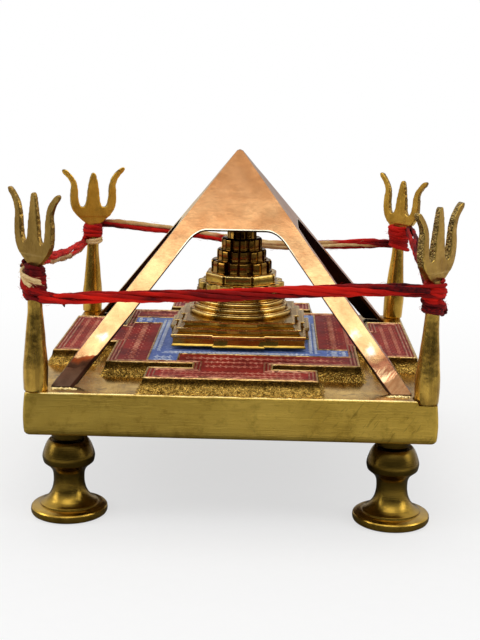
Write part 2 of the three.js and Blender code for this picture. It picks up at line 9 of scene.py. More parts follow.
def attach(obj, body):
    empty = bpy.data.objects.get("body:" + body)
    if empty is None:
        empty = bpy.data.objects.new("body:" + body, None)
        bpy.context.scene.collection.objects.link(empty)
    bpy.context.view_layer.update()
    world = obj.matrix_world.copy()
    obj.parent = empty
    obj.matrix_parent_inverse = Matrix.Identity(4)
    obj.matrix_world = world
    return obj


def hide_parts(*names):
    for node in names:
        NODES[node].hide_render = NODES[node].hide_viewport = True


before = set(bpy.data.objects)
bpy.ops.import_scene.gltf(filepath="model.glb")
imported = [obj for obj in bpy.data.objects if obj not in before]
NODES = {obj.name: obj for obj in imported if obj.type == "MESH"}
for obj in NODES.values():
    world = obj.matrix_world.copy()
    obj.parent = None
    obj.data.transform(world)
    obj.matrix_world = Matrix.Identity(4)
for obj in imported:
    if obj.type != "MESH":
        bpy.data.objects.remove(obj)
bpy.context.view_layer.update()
MM = 0.001
# noise_vector takes its offsets from this seed; without one they come from the clock
noise.seed_set(7)

# Sizes in millimetres, as in the part's source
PLATE_HALF = 50.0
PLATE_LOW = 22.8
PLATE_TOP = 33.5
BAR_FAR = 47.3
BAR_NEAR = 37.0
BAR_HALF = 21.0
NECK_HALF = 10.0
SQUARE_HALF = 32.0
RING_HALF = 22.0
BLOCK_LONG = 7.8
BLOCK_MARGIN = 2.0
TRI_AT = 47.1
FOOT_AT = 40.4
PYR_HALF = 44.0
PYR_HIGH = 55.6
PYR_SHEET = 0.8
PYR_LEG = 5.6
WINDOW_HIGH = 35.3
WINDOW_CORNER = 3.0
GAP = 0.3
MERU_SHIFT = 0.9
CORNERS = [("front_left", -1, -1), ("front_right", 1, -1), ("rear_right", 1, 1), ("rear_left", -1, 1)]


# Camera, light and floor

CAMERA_AT = (0.00995, -0.34049, 0.11568)
CAMERA_YAW, CAMERA_PITCH, CAMERA_ROLL = 0.027, 0.214, 0.017
CAMERA_LENS = 71.02


def make_camera():
    """The camera fitted to the photograph"""
    yaw, pitch, roll = CAMERA_YAW, CAMERA_PITCH, CAMERA_ROLL
    forward = Vector((-math.sin(yaw) * math.cos(pitch), math.cos(yaw) * math.cos(pitch), -math.sin(pitch)))
    level = Vector((math.cos(yaw), math.sin(yaw), 0))
    above = level.cross(forward)
    right = math.cos(roll) * level + math.sin(roll) * above
    up = math.cos(roll) * above - math.sin(roll) * level
    data = bpy.data.cameras.new("photo_camera")
    data.lens = CAMERA_LENS
    data.sensor_width = 36
    data.sensor_fit = "AUTO"
    data.clip_start = 0.01
    cam = bpy.data.objects.new("photo_camera", data)
    basis = Matrix((right, up, -forward)).transposed().to_4x4()
    cam.matrix_world = Matrix.Translation(CAMERA_AT) @ basis
    bpy.context.scene.collection.objects.link(cam)
    bpy.context.scene.camera = cam


class Nodes:
    """A node tree with short calls for the nodes that repeat; a colour may be given as written sRGB"""

    def __init__(self, tree, space="Object"):
        self.tree = tree
        self.coord = self.add("TexCoord").outputs[space]
        self.x, self.y, self.z = self.add("SeparateXYZ", Vector=self.coord).outputs

    def wire(self, made, **inputs):
        """Links or sets inputs, by name (a space written as _) or by place (i0, i1 and so on)"""
        for key, value in inputs.items():
            by_place = key[0] == "i" and key[1:].isdigit()
            socket = made.inputs[int(key[1:]) if by_place else key.replace("_", " ")]
            if isinstance(value, bpy.types.NodeSocket):
                self.tree.links.new(value, socket)
            else:
                socket.default_value = rgba(value) if isinstance(value, str) else value

    def add(self, kind, settings=None, **inputs):
        made = self.tree.nodes.new("ShaderNode" + kind)
        for key, value in (settings or {}).items():
            setattr(made, key, value)
        self.wire(made, **inputs)
        return made

    def calc(self, operation, a, b=0.0, clamp=False):
        return self.add("Math", {"operation": operation, "use_clamp": clamp}, i0=a, i1=b).outputs[0]

    def plus(self, a, b):
        return self.calc("ADD", a, b)

    def less(self, a, b, clamp=False):
        return self.calc("SUBTRACT", a, b, clamp)

    def mul(self, a, b):
        return self.calc("MULTIPLY", a, b)

    def mix(self, factor, a, b, blend="MIX"):
        return self.add("Mix", {"data_type": "RGBA", "blend_type": blend}, i0=factor, i6=a, i7=b).outputs[2]

    def dull(self, color, value):
        grey = self.add("CombineColor", Red=value, Green=value, Blue=value).outputs[0]
        return self.mix(1.0, color, grey, "MULTIPLY")

    def ramp(self, value, a, b, c=0.0, d=1.0, kind="LINEAR"):
        return self.add("MapRange", {"interpolation_type": kind}, Value=value, From_Min=a, From_Max=b,
                        To_Min=c, To_Max=d).outputs[0]

    def ease(self, value, a, b, c=0.0, d=1.0):
        return self.ramp(value, a, b, c, d, "SMOOTHSTEP")

    def below(self, height, full, none):
        """1 below the height `full` in metres, 0 above `none`"""
        return self.ease(height, full, none, 1.0, 0.0)

    def ball(self, point, center, inner, outer):
        """1 within `inner` metres of `center`, 0 beyond `outer`"""
        away = self.add("VectorMath", {"operation": "DISTANCE"}, i0=point, i1=center).outputs["Value"]
        return self.ease(away, inner, outer, 1.0, 0.0)

    def noise(self, scale, detail, rough=0.5, turn=None, **inputs):
        """Noise in object space in 1/m; three scales stretch it, after `turn` about Y"""
        vector = self.coord
        if turn:
            vector = self.add("Mapping", Vector=vector, Rotation=(0, turn, 0)).outputs[0]
        if isinstance(scale, tuple):
            vector = self.add("Mapping", Vector=vector, Scale=scale).outputs[0]
            scale = 1.0
        return self.add("TexNoise", Vector=vector, Scale=scale, Detail=detail, Roughness=rough,
                        **inputs).outputs["Fac"]

    def cells(self, scale):
        return self.add("TexVoronoi", Vector=self.coord, Scale=scale, Randomness=1.0).outputs["Distance"]

    def bump(self, strength, distance, height, **inputs):
        return self.add("Bump", Strength=strength, Distance=distance, Height=height, **inputs).outputs[0]


def rgba(hex_color, gain=1.0):
    """A written sRGB colour as linear RGBA"""
    value = hex_color.lstrip("#")
    channels = [int(value[i:i + 2], 16) / 255 for i in (0, 2, 4)]
    linear = [((c + 0.055) / 1.055) ** 2.4 if c > 0.04045 else c / 12.92 for c in channels]
    return tuple(min(1.0, c * gain) for c in linear) + (1.0,)


# How bright reflections find the room from the front (0) round to the back (1)
ROOM_AROUND = [(0.001, 0.1), (0.12, 0.12), (0.3, 0.2), (0.44, 0.42), (0.5, 0.42), (0.68, 0.5), (0.85, 0.8),
               (0.96, 0.5), (0.999, 0.42)]
CEILING = (0.88, 0.88, 0.88, 1)
WHITE = (1, 1, 1, 1)
SOFT_LIGHT = 0.62


def make_world():
    """White to the camera, soft to diffuse rays, and to glossy ones a room that is darker in front"""
    world = bpy.data.worlds.new("studio")
    bpy.context.scene.world = world
    world.use_nodes = True
    world.node_tree.nodes.clear()
    n = Nodes(world.node_tree, "Generated")
    path = n.add("LightPath").outputs
    level = n.calc("SQRT", n.plus(n.plus(n.mul(n.x, n.x), n.mul(n.y, n.y)), 1e-6))
    heading = n.calc("DIVIDE", n.y, level)
    around = n.add("ValToRGB", i0=n.plus(n.mul(heading, 0.5), 0.5))
    stops = around.color_ramp.elements
    around.color_ramp.interpolation = "EASE"
    for at, value in ROOM_AROUND:
        stops.new(at).color = (value, value, value, 1)
    stops.remove(stops[0])
    stops.remove(stops[-1])
    dark_wall = n.ease(heading, -0.85, -0.1, 0.26, 0.0)
    rise = n.ease(n.less(n.z, dark_wall), 0.12, 0.5)
    studio = n.mix(rise, around.outputs[0], CEILING)
    soft = n.add("Background", Color=WHITE, Strength=SOFT_LIGHT)
    seen = n.add("Background", Color=WHITE, Strength=1.0)
    mirrored = n.add("Background", Color=studio, Strength=1.0)
    shiny = n.calc("MAXIMUM", path["Is Glossy Ray"], path["Is Transmission Ray"])
    first = n.add("MixShader", i0=shiny, i1=soft.outputs[0], i2=mirrored.outputs[0])
    second = n.add("MixShader", i0=path["Is Camera Ray"], i1=first.outputs[0], i2=seen.outputs[0])
    n.add("OutputWorld", Surface=second.outputs[0])


LAMP_TARGET = Vector((0, 0, 0.045))


def make_lamp(name, place, size, watts):
    data = bpy.data.lights.new(name, "AREA")
    data.shape = "RECTANGLE"
    data.size, data.size_y = size
    data.energy = watts
    lamp = bpy.data.objects.new(name, data)
    lamp.location = place
    lamp.rotation_euler = (LAMP_TARGET - Vector(place)).to_track_quat("-Z", "Y").to_euler()
    bpy.context.scene.collection.objects.link(lamp)


FLOOR_HALF = 3.0
ROOM_FRONT = (0.035, 0.035, 0.04, 1)
ROOM_BACK_LEFT = (0.92, 0.82, 0.54, 1)
ROOM_BACK_RIGHT = (0.5, 0.4, 0.4, 1)


def make_floor():
    """Pale paper that keeps the shadow; glossy rays find it dark under the plate, a painted shadow, and end
    in a room far out
    """
    half = FLOOR_HALF
    corners = [(-half, -half, 0), (half, -half, 0), (half, half, 0), (-half, half, 0)]
    floor = new_object("floor", corners, [(0, 1, 2, 3)])
    mat = bpy.data.materials.new("floor_pale")
    mat.use_nodes = True
    mat.node_tree.nodes.clear()
    n = Nodes(mat.node_tree)
    path = n.add("LightPath").outputs
    gloss = path["Is Glossy Ray"]
    far = n.add("VectorMath", {"operation": "LENGTH"}, i0=n.coord).outputs["Value"]
    reach = n.plus(far, 1e-6)
    factor = n.mul(n.ease(far, 0.06, 0.26, 0.62, 1.0), path["Is Camera Ray"])
    tint = n.mix(n.noise(300.0, 4.0), (0.8, 0.8, 0.795, 1), (0.84, 0.84, 0.835, 1))
    # Painted shadow under the plate, seen only by glossy rays
    under = n.ease(far, 0.085, 0.125, 0.85, 0.0)
    tint = n.mix(n.mul(under, gloss), tint, (0.04, 0.04, 0.03, 1))
    paper = n.add("BsdfDiffuse", Color=tint)
    white = n.add("Emission", Color=WHITE, Strength=1.0)
    behind = n.ease(n.calc("DIVIDE", n.y, reach), -0.2, 0.15)
    right = n.ease(n.calc("DIVIDE", n.x, reach), -0.2, 0.2)
    room = n.mix(behind, ROOM_FRONT, n.mix(right, ROOM_BACK_LEFT, ROOM_BACK_RIGHT))
    far_room = n.add("Emission", Color=room, Strength=1.0)
    dim = n.mul(n.ease(far, 0.33, 0.42), gloss)
    table = n.add("MixShader", i0=dim, i1=paper.outputs[0], i2=far_room.outputs[0])
    both = n.add("MixShader", i0=factor, i1=table.outputs[0], i2=white.outputs[0])
    n.add("OutputMaterial", Surface=both.outputs[0])
    floor.data.materials.append(mat)


# Materials

def start_material(name, metallic=1.0):
    mat = bpy.data.materials.new(name)
    mat.use_nodes = True
    n = Nodes(mat.node_tree)
    shader = n.tree.nodes["Principled BSDF"]
    shader.inputs["Metallic"].default_value = metallic
    return mat, n, shader


def brass_material(name, light, deep, rough, patch, stain, pits=None, brush=None, dim_left=1.0, painted_shade_rise=None,
                   scratches=0.0, bands=0.0):
    """Metal with patches of colour, a stain (colour, amount), optional pits (depth, size in mm) and brushing
    (object-space stretch in 1/m, depth).
    `dim_left` is how much duller the left end gets, `painted_shade_rise` (low, high, dulness) how much
    painted shade darkens it between two heights; `scratches` cross the right end, `bands` run upwards."""
    mat, n, shader = start_material(name)
    color = n.mix(n.ramp(n.noise(patch, 5.0, 0.6), 0.3, 0.7), deep, light)
    color = n.mix(n.ramp(n.noise(260.0, 7.0, 0.7), 0.52, 0.68, 0.0, stain[1]), color, stain[0])
    if bands:
        color = n.mix(n.ramp(n.noise((620, 620, 45), 2.0), 0.44, 0.6, 0.0, bands), color, rgba(deep, 0.28))
    # Darker towards the left end
    if dim_left < 1.0:
        color = n.dull(color, n.ease(n.x, -0.06, 0.02, dim_left, 1.0))
    # Painted shade: the colour darkens upwards between the two heights, as under the plate
    if painted_shade_rise:
        low, high, dulness = painted_shade_rise
        fall = n.calc("POWER", n.ramp(n.z, low, high), 0.42)
        color = n.dull(color, n.less(1.0, n.mul(fall, 1.0 - dulness)))
    if scratches:
        marks = n.ramp(n.noise((200, 200, 1400), 2.0, turn=0.95), 0.62, 0.65, 0.0, scratches)
        color = n.mix(n.mul(marks, n.ease(n.x, 0.01, 0.03)), color, "#5c4a1c")
    height = n.noise(brush[0], 8.0, 0.7) if brush else n.noise(900.0, 6.0, 0.65)
    normal = n.bump(brush[1] if brush else 0.05, 0.0002, height)
    if pits:
        depth, size = pits
        grit = n.plus(n.cells(1000.0 / size), n.noise(700.0 / size, 4.0))
        normal = n.bump(depth, 0.0004, grit, Normal=normal)
    n.wire(shader, Base_Color=color, Roughness=n.ramp(height, 0.3, 0.7, *rough), Normal=normal)
    return mat


def relief_material(name):
    """Walls of the diagram: smooth above, coarse sand-cast grain towards their foot; painted reflection makes
    them dark above and sparkling gold at the foot
    """
    mat, n, shader = start_material(name)
    # Painted reflection: dark on the steep upper wall, bright gold on the low fillet
    low = n.below(n.z, 0.0347, 0.0364)
    spread = n.ramp(n.noise(1100.0, 5.0, 0.7), 0.36, 0.66)
    color = n.mix(low, n.mix(spread, "#4a3210", "#8a6426"), n.mix(spread, "#7a5a1e", "#f2c664"))
    grit = n.noise(2200.0, 4.0, 0.6)
    normal = n.bump(n.ramp(low, 0.0, 1.0, 0.25, 1.0), 0.0003, n.plus(n.cells(2600.0), grit))
    n.wire(shader, Base_Color=color, Roughness=n.ramp(grit, 0.3, 0.7, 0.16, 0.3), Normal=normal)
    return mat


def window_distance(n):
    """Distance across the sheet from the window's side edges, and from its whole rounded edge, in metres"""
    x, y = n.calc("ABSOLUTE", n.x), n.calc("ABSOLUTE", n.y)
    beside = n.plus(n.less(n.calc("MINIMUM", x, y), n.calc("MAXIMUM", x, y)), PYR_LEG * MM)
    above = n.less(n.z, (PLATE_TOP + WINDOW_HIGH) * MM)
    corner = 0.8 * WINDOW_CORNER * MM
    square = 0.0
    for side in (beside, above):
        reach = n.calc("MAXIMUM", n.plus(side, corner), 0.0)
        square = n.plus(square, n.mul(reach, reach))
    return beside, n.less(n.calc("SQRT", square), corner)


# Places on the pyramid in metres: its two front feet and the glints on its legs
COPPER_FOOT_RIGHT = (0.042, -0.044, 0.034)
COPPER_FOOT_LEFT = (-0.042, -0.044, 0.034)
COPPER_GLINTS = ((0.0338, -0.0369, 0.0426), (0.0309, -0.0347, 0.0453), (-0.0322, -0.0352, 0.0447))


def right_foot_tint_and_painted_highlight(n, color, height):
    """Pink above, cream with scratches below it as a painted highlight, and tan at the bottom, reaching
    higher towards the outer side
    """
    foot = n.ball(n.coord, COPPER_FOOT_RIGHT, 0.014, 0.018)
    pink = n.mul(foot, n.below(height, 0.04, 0.0408))
    color = n.mix(n.mul(pink, 0.7), color, "#a8624c")
    streak = n.ramp(n.noise((300, 300, 2400), 3.0, 0.6, turn=0.8), 0.42, 0.58)
    # Painted highlight: the pale cream band, with scratches in it
    pale = n.mul(foot, n.below(height, 0.0392, 0.0397))
    color = n.mix(n.mul(pale, 0.9), color, n.mix(streak, "#a8704e", "#ecc898"))
    tan_at = n.less(height, n.mul(n.less(n.x, 0.0405), 0.6))
    tan = n.mul(foot, n.below(tan_at, 0.0376, 0.0384))
    return n.mix(n.mul(tan, 0.92), color, "#745032")


def left_foot_tarnish(n, color, height, smudge):
    """Burnt brown with a rusty upper edge; also gives the mask of the brown"""
    edge_at = n.plus(height, n.mul(n.x, -0.18))
    brown = n.mul(n.ball(n.coord, COPPER_FOOT_LEFT, 0.017, 0.0185), n.below(edge_at, 0.0466, 0.047))
    burnt = n.mix(n.ramp(n.z, 0.0345, 0.0395), "#261a14", "#4e2c1a")
    burnt = n.mix(n.mul(smudge, 0.7), burnt, "#44302a")
    burnt = n.mix(n.less(1.0, n.below(edge_at, 0.0452, 0.0464), clamp=True), burnt, "#7c3414")
    return n.mix(n.mul(brown, 0.97), color, burnt), brown


def copper_material(name):
    """Polished copper: rosier on the cap, paler down the legs, partly a tint and partly painted highlight;
    creased, tinted and stained at the two front feet, with a painted highlight round the window and painted
    shade along the legs' inner edges
    """
    mat, n, shader = start_material(name)
    broad = n.noise(55.0, 6.0, 0.62)
    # Paler legs, rosier cap: partly a tint, partly the legs' highlight painted in
    high = n.ease(n.plus(n.z, n.mul(n.less(broad, 0.5), 0.03)), 0.055, 0.08)
    patches = n.noise(130.0, 4.0, 0.55)
    tone = n.ramp(patches, 0.38, 0.62)
    color = n.mix(high, n.mix(tone, "#cc9464", "#e4ba82"), n.mix(tone, "#bf8554", "#cb9464"))
    smudge = n.noise(170.0, 7.0, 0.7, Distortion=0.6)
    color = n.mix(n.ramp(smudge, 0.5, 0.72, 0.0, 0.5), color, "#b87a4c")
    height = n.plus(n.z, n.mul(n.less(patches, 0.5), 0.006))
    color = right_foot_tint_and_painted_highlight(n, color, height)
    jitter = n.add("VectorMath", {"operation": "SUBTRACT"}, i0=patches.node.outputs["Color"],
                   i1=(0.5, 0.5, 0.5))
    jitter = n.add("VectorMath", {"operation": "SCALE"}, i0=jitter.outputs[0], Scale=0.009)
    near = n.add("VectorMath", {"operation": "ADD"}, i0=n.coord, i1=jitter.outputs[0]).outputs[0]
    for center in COPPER_GLINTS:
        color = n.mix(n.mul(n.ball(near, center, 0.0001, 0.0019), 0.7), color, "#fffdf0")
    color, brown = left_foot_tarnish(n, color, height, smudge)
    beside, around = window_distance(n)
    # Painted highlight: a near-white line round the window's edge
    rim = n.mul(n.ramp(around, 0.00024, 0.00038, 1.0, 0.0), n.less(1.0, n.below(n.z, 0.061, 0.0665)))
    color = n.mix(rim, color, "#fffae0")
    # Painted shade: a dark band along the legs' inner edges, wider towards the feet, as the sheet's edge in
    # shadow
    wide = n.plus(n.ramp(n.z, 0.034, 0.05, 0.0007, 0.0002), n.mul(brown, 0.0004))
    inside = n.calc("DIVIDE", n.less(wide, beside), 0.0002, clamp=True)
    color = n.mix(n.mul(inside, n.below(n.z, 0.05, 0.064)), color, "#26140c")
    rough = n.ramp(n.noise(420.0, 7.0, 0.7), 0.3, 0.7, 0.15, 0.27)
    lines = n.bump(0.05, 0.0002, n.noise((160, 160, 1100), 8.0, 0.7))
    n.wire(shader, Base_Color=color, Roughness=rough, Normal=n.bump(0.3, 0.0006, broad, Normal=lines))
    return mat


def enamel_material(name, light, deep, fleck, fleck_amount):
    mat, n, shader = start_material(name, 0.0)
    color = n.mix(n.ramp(n.noise(110.0, 6.0, 0.62), 0.32, 0.68), deep, light)
    worn = n.noise(1300.0, 5.0, 0.7)
    color = n.mix(n.ramp(worn, 0.55, 0.72, 0.0, fleck_amount), color, fleck)
    n.wire(shader, Base_Color=color, Roughness=n.ramp(worn, 0.3, 0.7, 0.42, 0.62), Specular_IOR_Level=0.16,
           Normal=n.bump(0.35, 0.0003, worn))
    return mat


def thread_material(name):
    """Cotton yarn: dye and shade come from attributes stored along each yarn; the shade holds each yarn's own
    tone with painted light and shade
    """
    mat, n, shader = start_material(name, 0.0)
    dye = n.add("Attribute", {"attribute_name": "dye"}).outputs["Fac"]
    shade = n.add("Attribute", {"attribute_name": "shade"}).outputs["Fac"]
    mottled = n.noise(1500.0, 5.0, 0.7)
    red = n.mix(n.ramp(mottled, 0.4, 0.8, 0.0, 0.4), n.mix(shade, "#300208", "#d61a0a"), "#b0140e")
    cream = n.mix(n.less(1.0, shade), n.mix(mottled, "#b88a4c", "#f8e2ac"), "#a8743c")
    n.wire(shader, Base_Color=n.mix(dye, red, cream), Roughness=0.85, Specular_IOR_Level=0.14,
           Sheen_Weight=0.03, Sheen_Roughness=0.4, Normal=n.bump(0.5, 0.0001, mottled))
    return mat


# Metals: name, light and deep colour, roughness, size of the patches, stain, pits and brushing
TRIDENT_PATCH, TRIDENT_PITS, TRIDENT_BRUSH = 120.0, (0.06, 0.5), ((900, 900, 80), 0.1)
POST_BRUSH = ((900, 900, 80), 0.15)
METALS = {
    "side": ("brass_brushed_side", "#ebc65c", "#c29e40", (0.3, 0.44), 45.0, ("#8a6a22", 0.5), None,
             ((30, 30, 4200), 0.6)),
    "top": ("brass_satin_top", "#e2b862", "#9a7634", (0.16, 0.3), 90.0, ("#543c18", 0.6), None,
            ((900, 120, 900), 0.12)),
    # The plate's top edge: rubbed brass made brighter as a painted highlight
    "edge": ("brass_rubbed_edge", "#f6e3a2", "#d9bb6c", (0.2, 0.32), 160.0, ("#a08038", 0.5), (0.1, 1.0)),
    "line": ("brass_worn_line", "#e4ac88", "#96403a", (0.3, 0.5), 520.0, ("#6c1d1c", 0.85), (0.35, 0.6)),
    "rim": ("brass_bright_rim", "#f2d08c", "#b98c4c", (0.22, 0.4), 300.0, ("#84402e", 0.7), (0.3, 0.8)),
    "burr": ("brass_filed_burr", "#fae9b0", "#e2c272", (0.2, 0.35), 500.0, ("#a08038", 0.5), (0.4, 0.5)),
    "foot": ("brass_turned_foot", "#d6ae4a", "#a07c30", (0.16, 0.28), 110.0, ("#6a501a", 0.6), None,
             ((60, 60, 6200), 0.2)),
    # The four tridents share one brass in lighter and darker copies: painted light and shade for each
    # trident, the rear-left one lightest against its shade
    "trishul": ("brass_trident", "#ac8c48", "#7c602a", (0.28, 0.4), TRIDENT_PATCH, ("#5c4620", 0.5),
                TRIDENT_PITS, TRIDENT_BRUSH),
    "trishul_pale": ("brass_trident_pale", "#d8b45c", "#a5823a", (0.26, 0.4), TRIDENT_PATCH, ("#6c5224", 0.5),
                     (0.08, 0.5), TRIDENT_BRUSH),
    "trishul_rear": ("brass_trident_golden", "#d2a84c", "#a8802e", (0.24, 0.38), TRIDENT_PATCH,
                     ("#7a5a20", 0.4), TRIDENT_PITS, TRIDENT_BRUSH),
    "trishul_gold": ("brass_trident_bright", "#ffd058", "#dca83c", (0.34, 0.46), TRIDENT_PATCH,
                     ("#8a6424", 0.4), TRIDENT_PITS, TRIDENT_BRUSH),
    "post": ("brass_trident_post", "#dab252", "#987632", (0.2, 0.32), 160.0, ("#4a3818", 0.25), (0.06, 1.4),
             POST_BRUSH),
    "post_rear": ("brass_trident_back_post", "#dcb050", "#b0862e", (0.2, 0.32), 160.0, ("#7a5a20", 0.3), None,
                  POST_BRUSH),
    "flank": ("brass_trident_flank", "#b89a5a", "#4e3e20", (0.2, 0.42), 1500.0, ("#20180c", 0.7), (0.8, 0.5)),
    "flank_plain": ("brass_trident_side", "#b08c44", "#70542a", (0.24, 0.42), 500.0, ("#3c2c12", 0.6),
                    (0.35, 0.8)),
    "meru": ("brass_meru", "#cea850", "#98782e", (0.14, 0.26), 200.0, ("#6e5222", 0.5), (0.04, 1.6)),
    # Tier lips, bead tops and large ledges: brighter brass as painted highlight where tops face the light
    "lip": ("brass_meru_lip", "#f4d488", "#d0a050", (0.16, 0.3), 320.0, ("#a87a34", 0.7), (0.06, 1.2)),
    # Darker copy of the Meru brass for the crown, tier feet and caps: painted shade
    "crown": ("brass_meru_crown", "#b4873a", "#7c5820", (0.11, 0.2), 220.0, ("#4a3014", 0.5), (0.03, 1.6)),
    # The pyramid's inside and cut edges: near-black copper as painted shade
    "copper_inside": ("copper_dull_inside", "#33190f", "#1c0d08", (0.35, 0.55), 80.0, ("#0e0705", 0.6)),
    "steel": ("steel_zinc", "#c9c9c6", "#a5a5a2", (0.28, 0.42), 120.0, ("#7a7a76", 0.4)),
}
# The feet darken upwards as painted shade under the plate
METAL_EXTRAS = {"side": dict(dim_left=0.6, scratches=0.3), "foot": dict(painted_shade_rise=(0.002, 0.0135, 0.34)),
                "post": dict(bands=0.45), "post_rear": dict(bands=0.4)}
MAT = {key: brass_material(*row, **METAL_EXTRAS.get(key, {})) for key, row in METALS.items()}
MAT.update(
    rough=relief_material("brass_rough_cast"),
    copper=copper_material("copper_polished"),
    red=enamel_material("enamel_red", "#a4241a", "#5e1110", "#ac4c34", 0.3),
    blue=enamel_material("enamel_blue", "#7088c6", "#4a60a4", "#ccd4de", 0.95),
    fleck_red=enamel_material("enamel_worn_red", "#e29c7e", "#a0402e", "#f6dcc0", 0.5),
    fleck_blue=enamel_material("enamel_worn_blue", "#dce2ea", "#94a4cc", "#f2f2f0", 0.7),
    thread=thread_material("cotton_yarn"))


# Mesh helpers

def new_object(name, verts, faces):
    mesh = bpy.data.meshes.new(name)
    mesh.from_pydata(np.asarray(verts, float).tolist(), [], [tuple(int(i) for i in f) for f in faces])
    obj = bpy.data.objects.new(name, mesh)
    bpy.context.scene.collection.objects.link(obj)
    return obj


def piece(name, part, mats, sharp=38.0, replaces=(), attributes=None):
    """A finished object on the plate from (points in millimetres, faces, material numbers)"""
    verts, faces, face_mats = part
    obj = new_object(name, np.asarray(verts, float) * MM, faces)
    finish_piece(obj, "plate", mats, face_mats, sharp, replaces)
    for key, values in (attributes or {}).items():
        layer = obj.data.attributes.new(key, "FLOAT", "POINT")
        layer.data.foreach_set("value", np.asarray(values, np.float32))


def finish_piece(obj, body, mats, face_mats, sharp, replaces):
    mesh = obj.data
    mesh.materials.clear()
    for mat in mats:
        mesh.materials.append(MAT[mat])
    mesh.polygons.foreach_set("material_index", np.asarray(face_mats, np.int32))
    mesh.polygons.foreach_set("use_smooth", [True] * len(mesh.polygons))
    mesh.set_sharp_from_angle(angle=math.radians(sharp))
    mesh.update()
    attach(obj, body)
    if replaces:
        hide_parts(*replaces)


def coordinates(mesh):
    co = np.zeros(len(mesh.vertices) * 3)
    mesh.vertices.foreach_get("co", co)
    return co.reshape(-1, 3)


def set_coordinates(mesh, co):
    mesh.vertices.foreach_set("co", co.reshape(-1))


def apply_modifiers(obj):
    graph = bpy.context.evaluated_depsgraph_get()
    graph.update()
    mesh = bpy.data.meshes.new_from_object(obj.evaluated_get(graph))
    obj.modifiers.clear()
    obj.data = mesh


def loft(rings, caps=False, closed=False, band_mats=None, cap_mat=0):
    """Bands of faces between rings of points, with caps at both ends or closed on itself"""
    count = len(rings[0])
    verts = np.vstack(rings)
    faces, mats = [], []
    bands = len(rings) if closed else len(rings) - 1
    for b in range(bands):
        lower = b * count
        upper = ((b + 1) % len(rings)) * count
        for i in range(count):
            j = (i + 1) % count
            faces.append((lower + i, lower + j, upper + j, upper + i))
            mats.append(band_mats[b] if band_mats else 0)
    if caps:
        faces.append(tuple(reversed(range(count))))
        faces.append(tuple(range((len(rings) - 1) * count, len(rings) * count)))
        mats += [cap_mat, cap_mat]
    return verts, faces, mats


def merge(parts):
    """Joins (verts, faces, mats) lists into one"""
    verts, faces, mats, base = [], [], [], 0
    for v, f, m in parts:
        verts.append(np.asarray(v, float))
        faces += [tuple(i + base for i in face) for face in f]
        mats += list(m)
        base += len(v)
    return np.vstack(verts), faces, mats


def whole_turn(count):
    """Angles of `count` points round a circle"""
    return np.linspace(0, 2 * math.pi, count, endpoint=False)


def noise_at(x, y, z):
    return noise.noise(Vector((x, y, z)))


def quadratic(start, control, end, t):
    """Point of a quadratic curve"""
    return tuple((1 - t) ** 2 * a + 2 * t * (1 - t) * b + t * t * c for a, b, c in zip(start, control, end))


def lathe(profile, segments, center=(0, 0, 0)):
    """Closed turned shape: the profile starts and ends on the axis"""
    profile = np.asarray(profile, float)
    angles = whole_turn(segments)
    inner = profile[1:-1]
    rings = [np.stack([r * np.cos(angles), r * np.sin(angles), np.full(segments, z)], 1) for r, z in inner]
    verts, faces, mats = loft(rings)
    first, last = len(verts), len(verts) + 1
    verts = np.vstack([verts, [[0, 0, profile[0][1]], [0, 0, profile[-1][1]]]])
    top = (len(inner) - 1) * segments
    for i in range(segments):
        j = (i + 1) % segments
        faces.append((first, j, i))
        faces.append((last, top + i, top + j))
        mats += [0, 0]
    return verts + np.asarray(center, float), faces, mats


def smooth_profile(points, steps=6):
    """Catmull-Rom through the points of a lathe profile"""
    pts = [np.asarray(p, float) for p in points]
    out = []
    for i in range(len(pts) - 1):
        a, b = pts[max(i - 1, 0)], pts[i]
        c, d = pts[i + 1], pts[min(i + 2, len(pts) - 1)]
        for k in range(steps):
            t = k / steps
            out.append(0.5 * (2 * b + (c - a) * t + (2 * a - 5 * b + 4 * c - d) * t * t
                              + (3 * b - 3 * c + d - a) * t ** 3))
    out.append(pts[-1])
    return out


QUARTER_TURNS = [(1, 0), (0, 1), (-1, 0), (0, -1)]


def turned(points, quarter):
    c, s = QUARTER_TURNS[quarter]
    return [(x * c - y * s, x * s + y * c) for x, y in points]


def gate(grow):
    inner, neck = SQUARE_HALF + grow, NECK_HALF + grow
    near, far, bar = BAR_NEAR - grow, BAR_FAR + grow, BAR_HALF + grow
    side = [(-inner, -inner), (-neck, -inner), (-neck, -near), (-bar, -near), (-bar, -far),
            (bar, -far), (bar, -near), (neck, -near), (neck, -inner)]
    return [p for q in range(4) for p in turned(side, q)]


def red_field(shrink):
    start, end = -RING_HALF + BLOCK_LONG + shrink, SQUARE_HALF - shrink
    top, low = -(RING_HALF + shrink), -(SQUARE_HALF - shrink)
    neck, near = NECK_HALF - shrink, -(BAR_NEAR + shrink)
    bar, far = BAR_HALF - shrink, -(BAR_FAR - shrink)
    return [(start, top), (start, low), (-neck, low), (-neck, near), (-bar, near), (-bar, far),
            (bar, far), (bar, near), (neck, near), (neck, low), (end, low), (end, top)]


def blue_field(shrink):
    left, right = -RING_HALF + shrink, -RING_HALF + BLOCK_LONG - shrink
    low = -(SQUARE_HALF - BLOCK_MARGIN - shrink)
    return [p for q in range(4) for p in turned([(left, low), (right, low), (right, -RING_HALF + shrink)], q)]


def counts_for(points, step):
    return [max(1, round(math.dist(p, points[(i + 1) % len(points)]) / step)) for i, p in enumerate(points)]


def dense(points, counts):
    out = []
    for i, (p, n) in enumerate(zip(points, counts)):
        q = points[(i + 1) % len(points)]
        out += [(p[0] + (q[0] - p[0]) * k / n, p[1] + (q[1] - p[1]) * k / n) for k in range(n)]
    return np.array(out)


def at_height(points, z):
    return np.column_stack([points, np.full(len(points), float(z))])


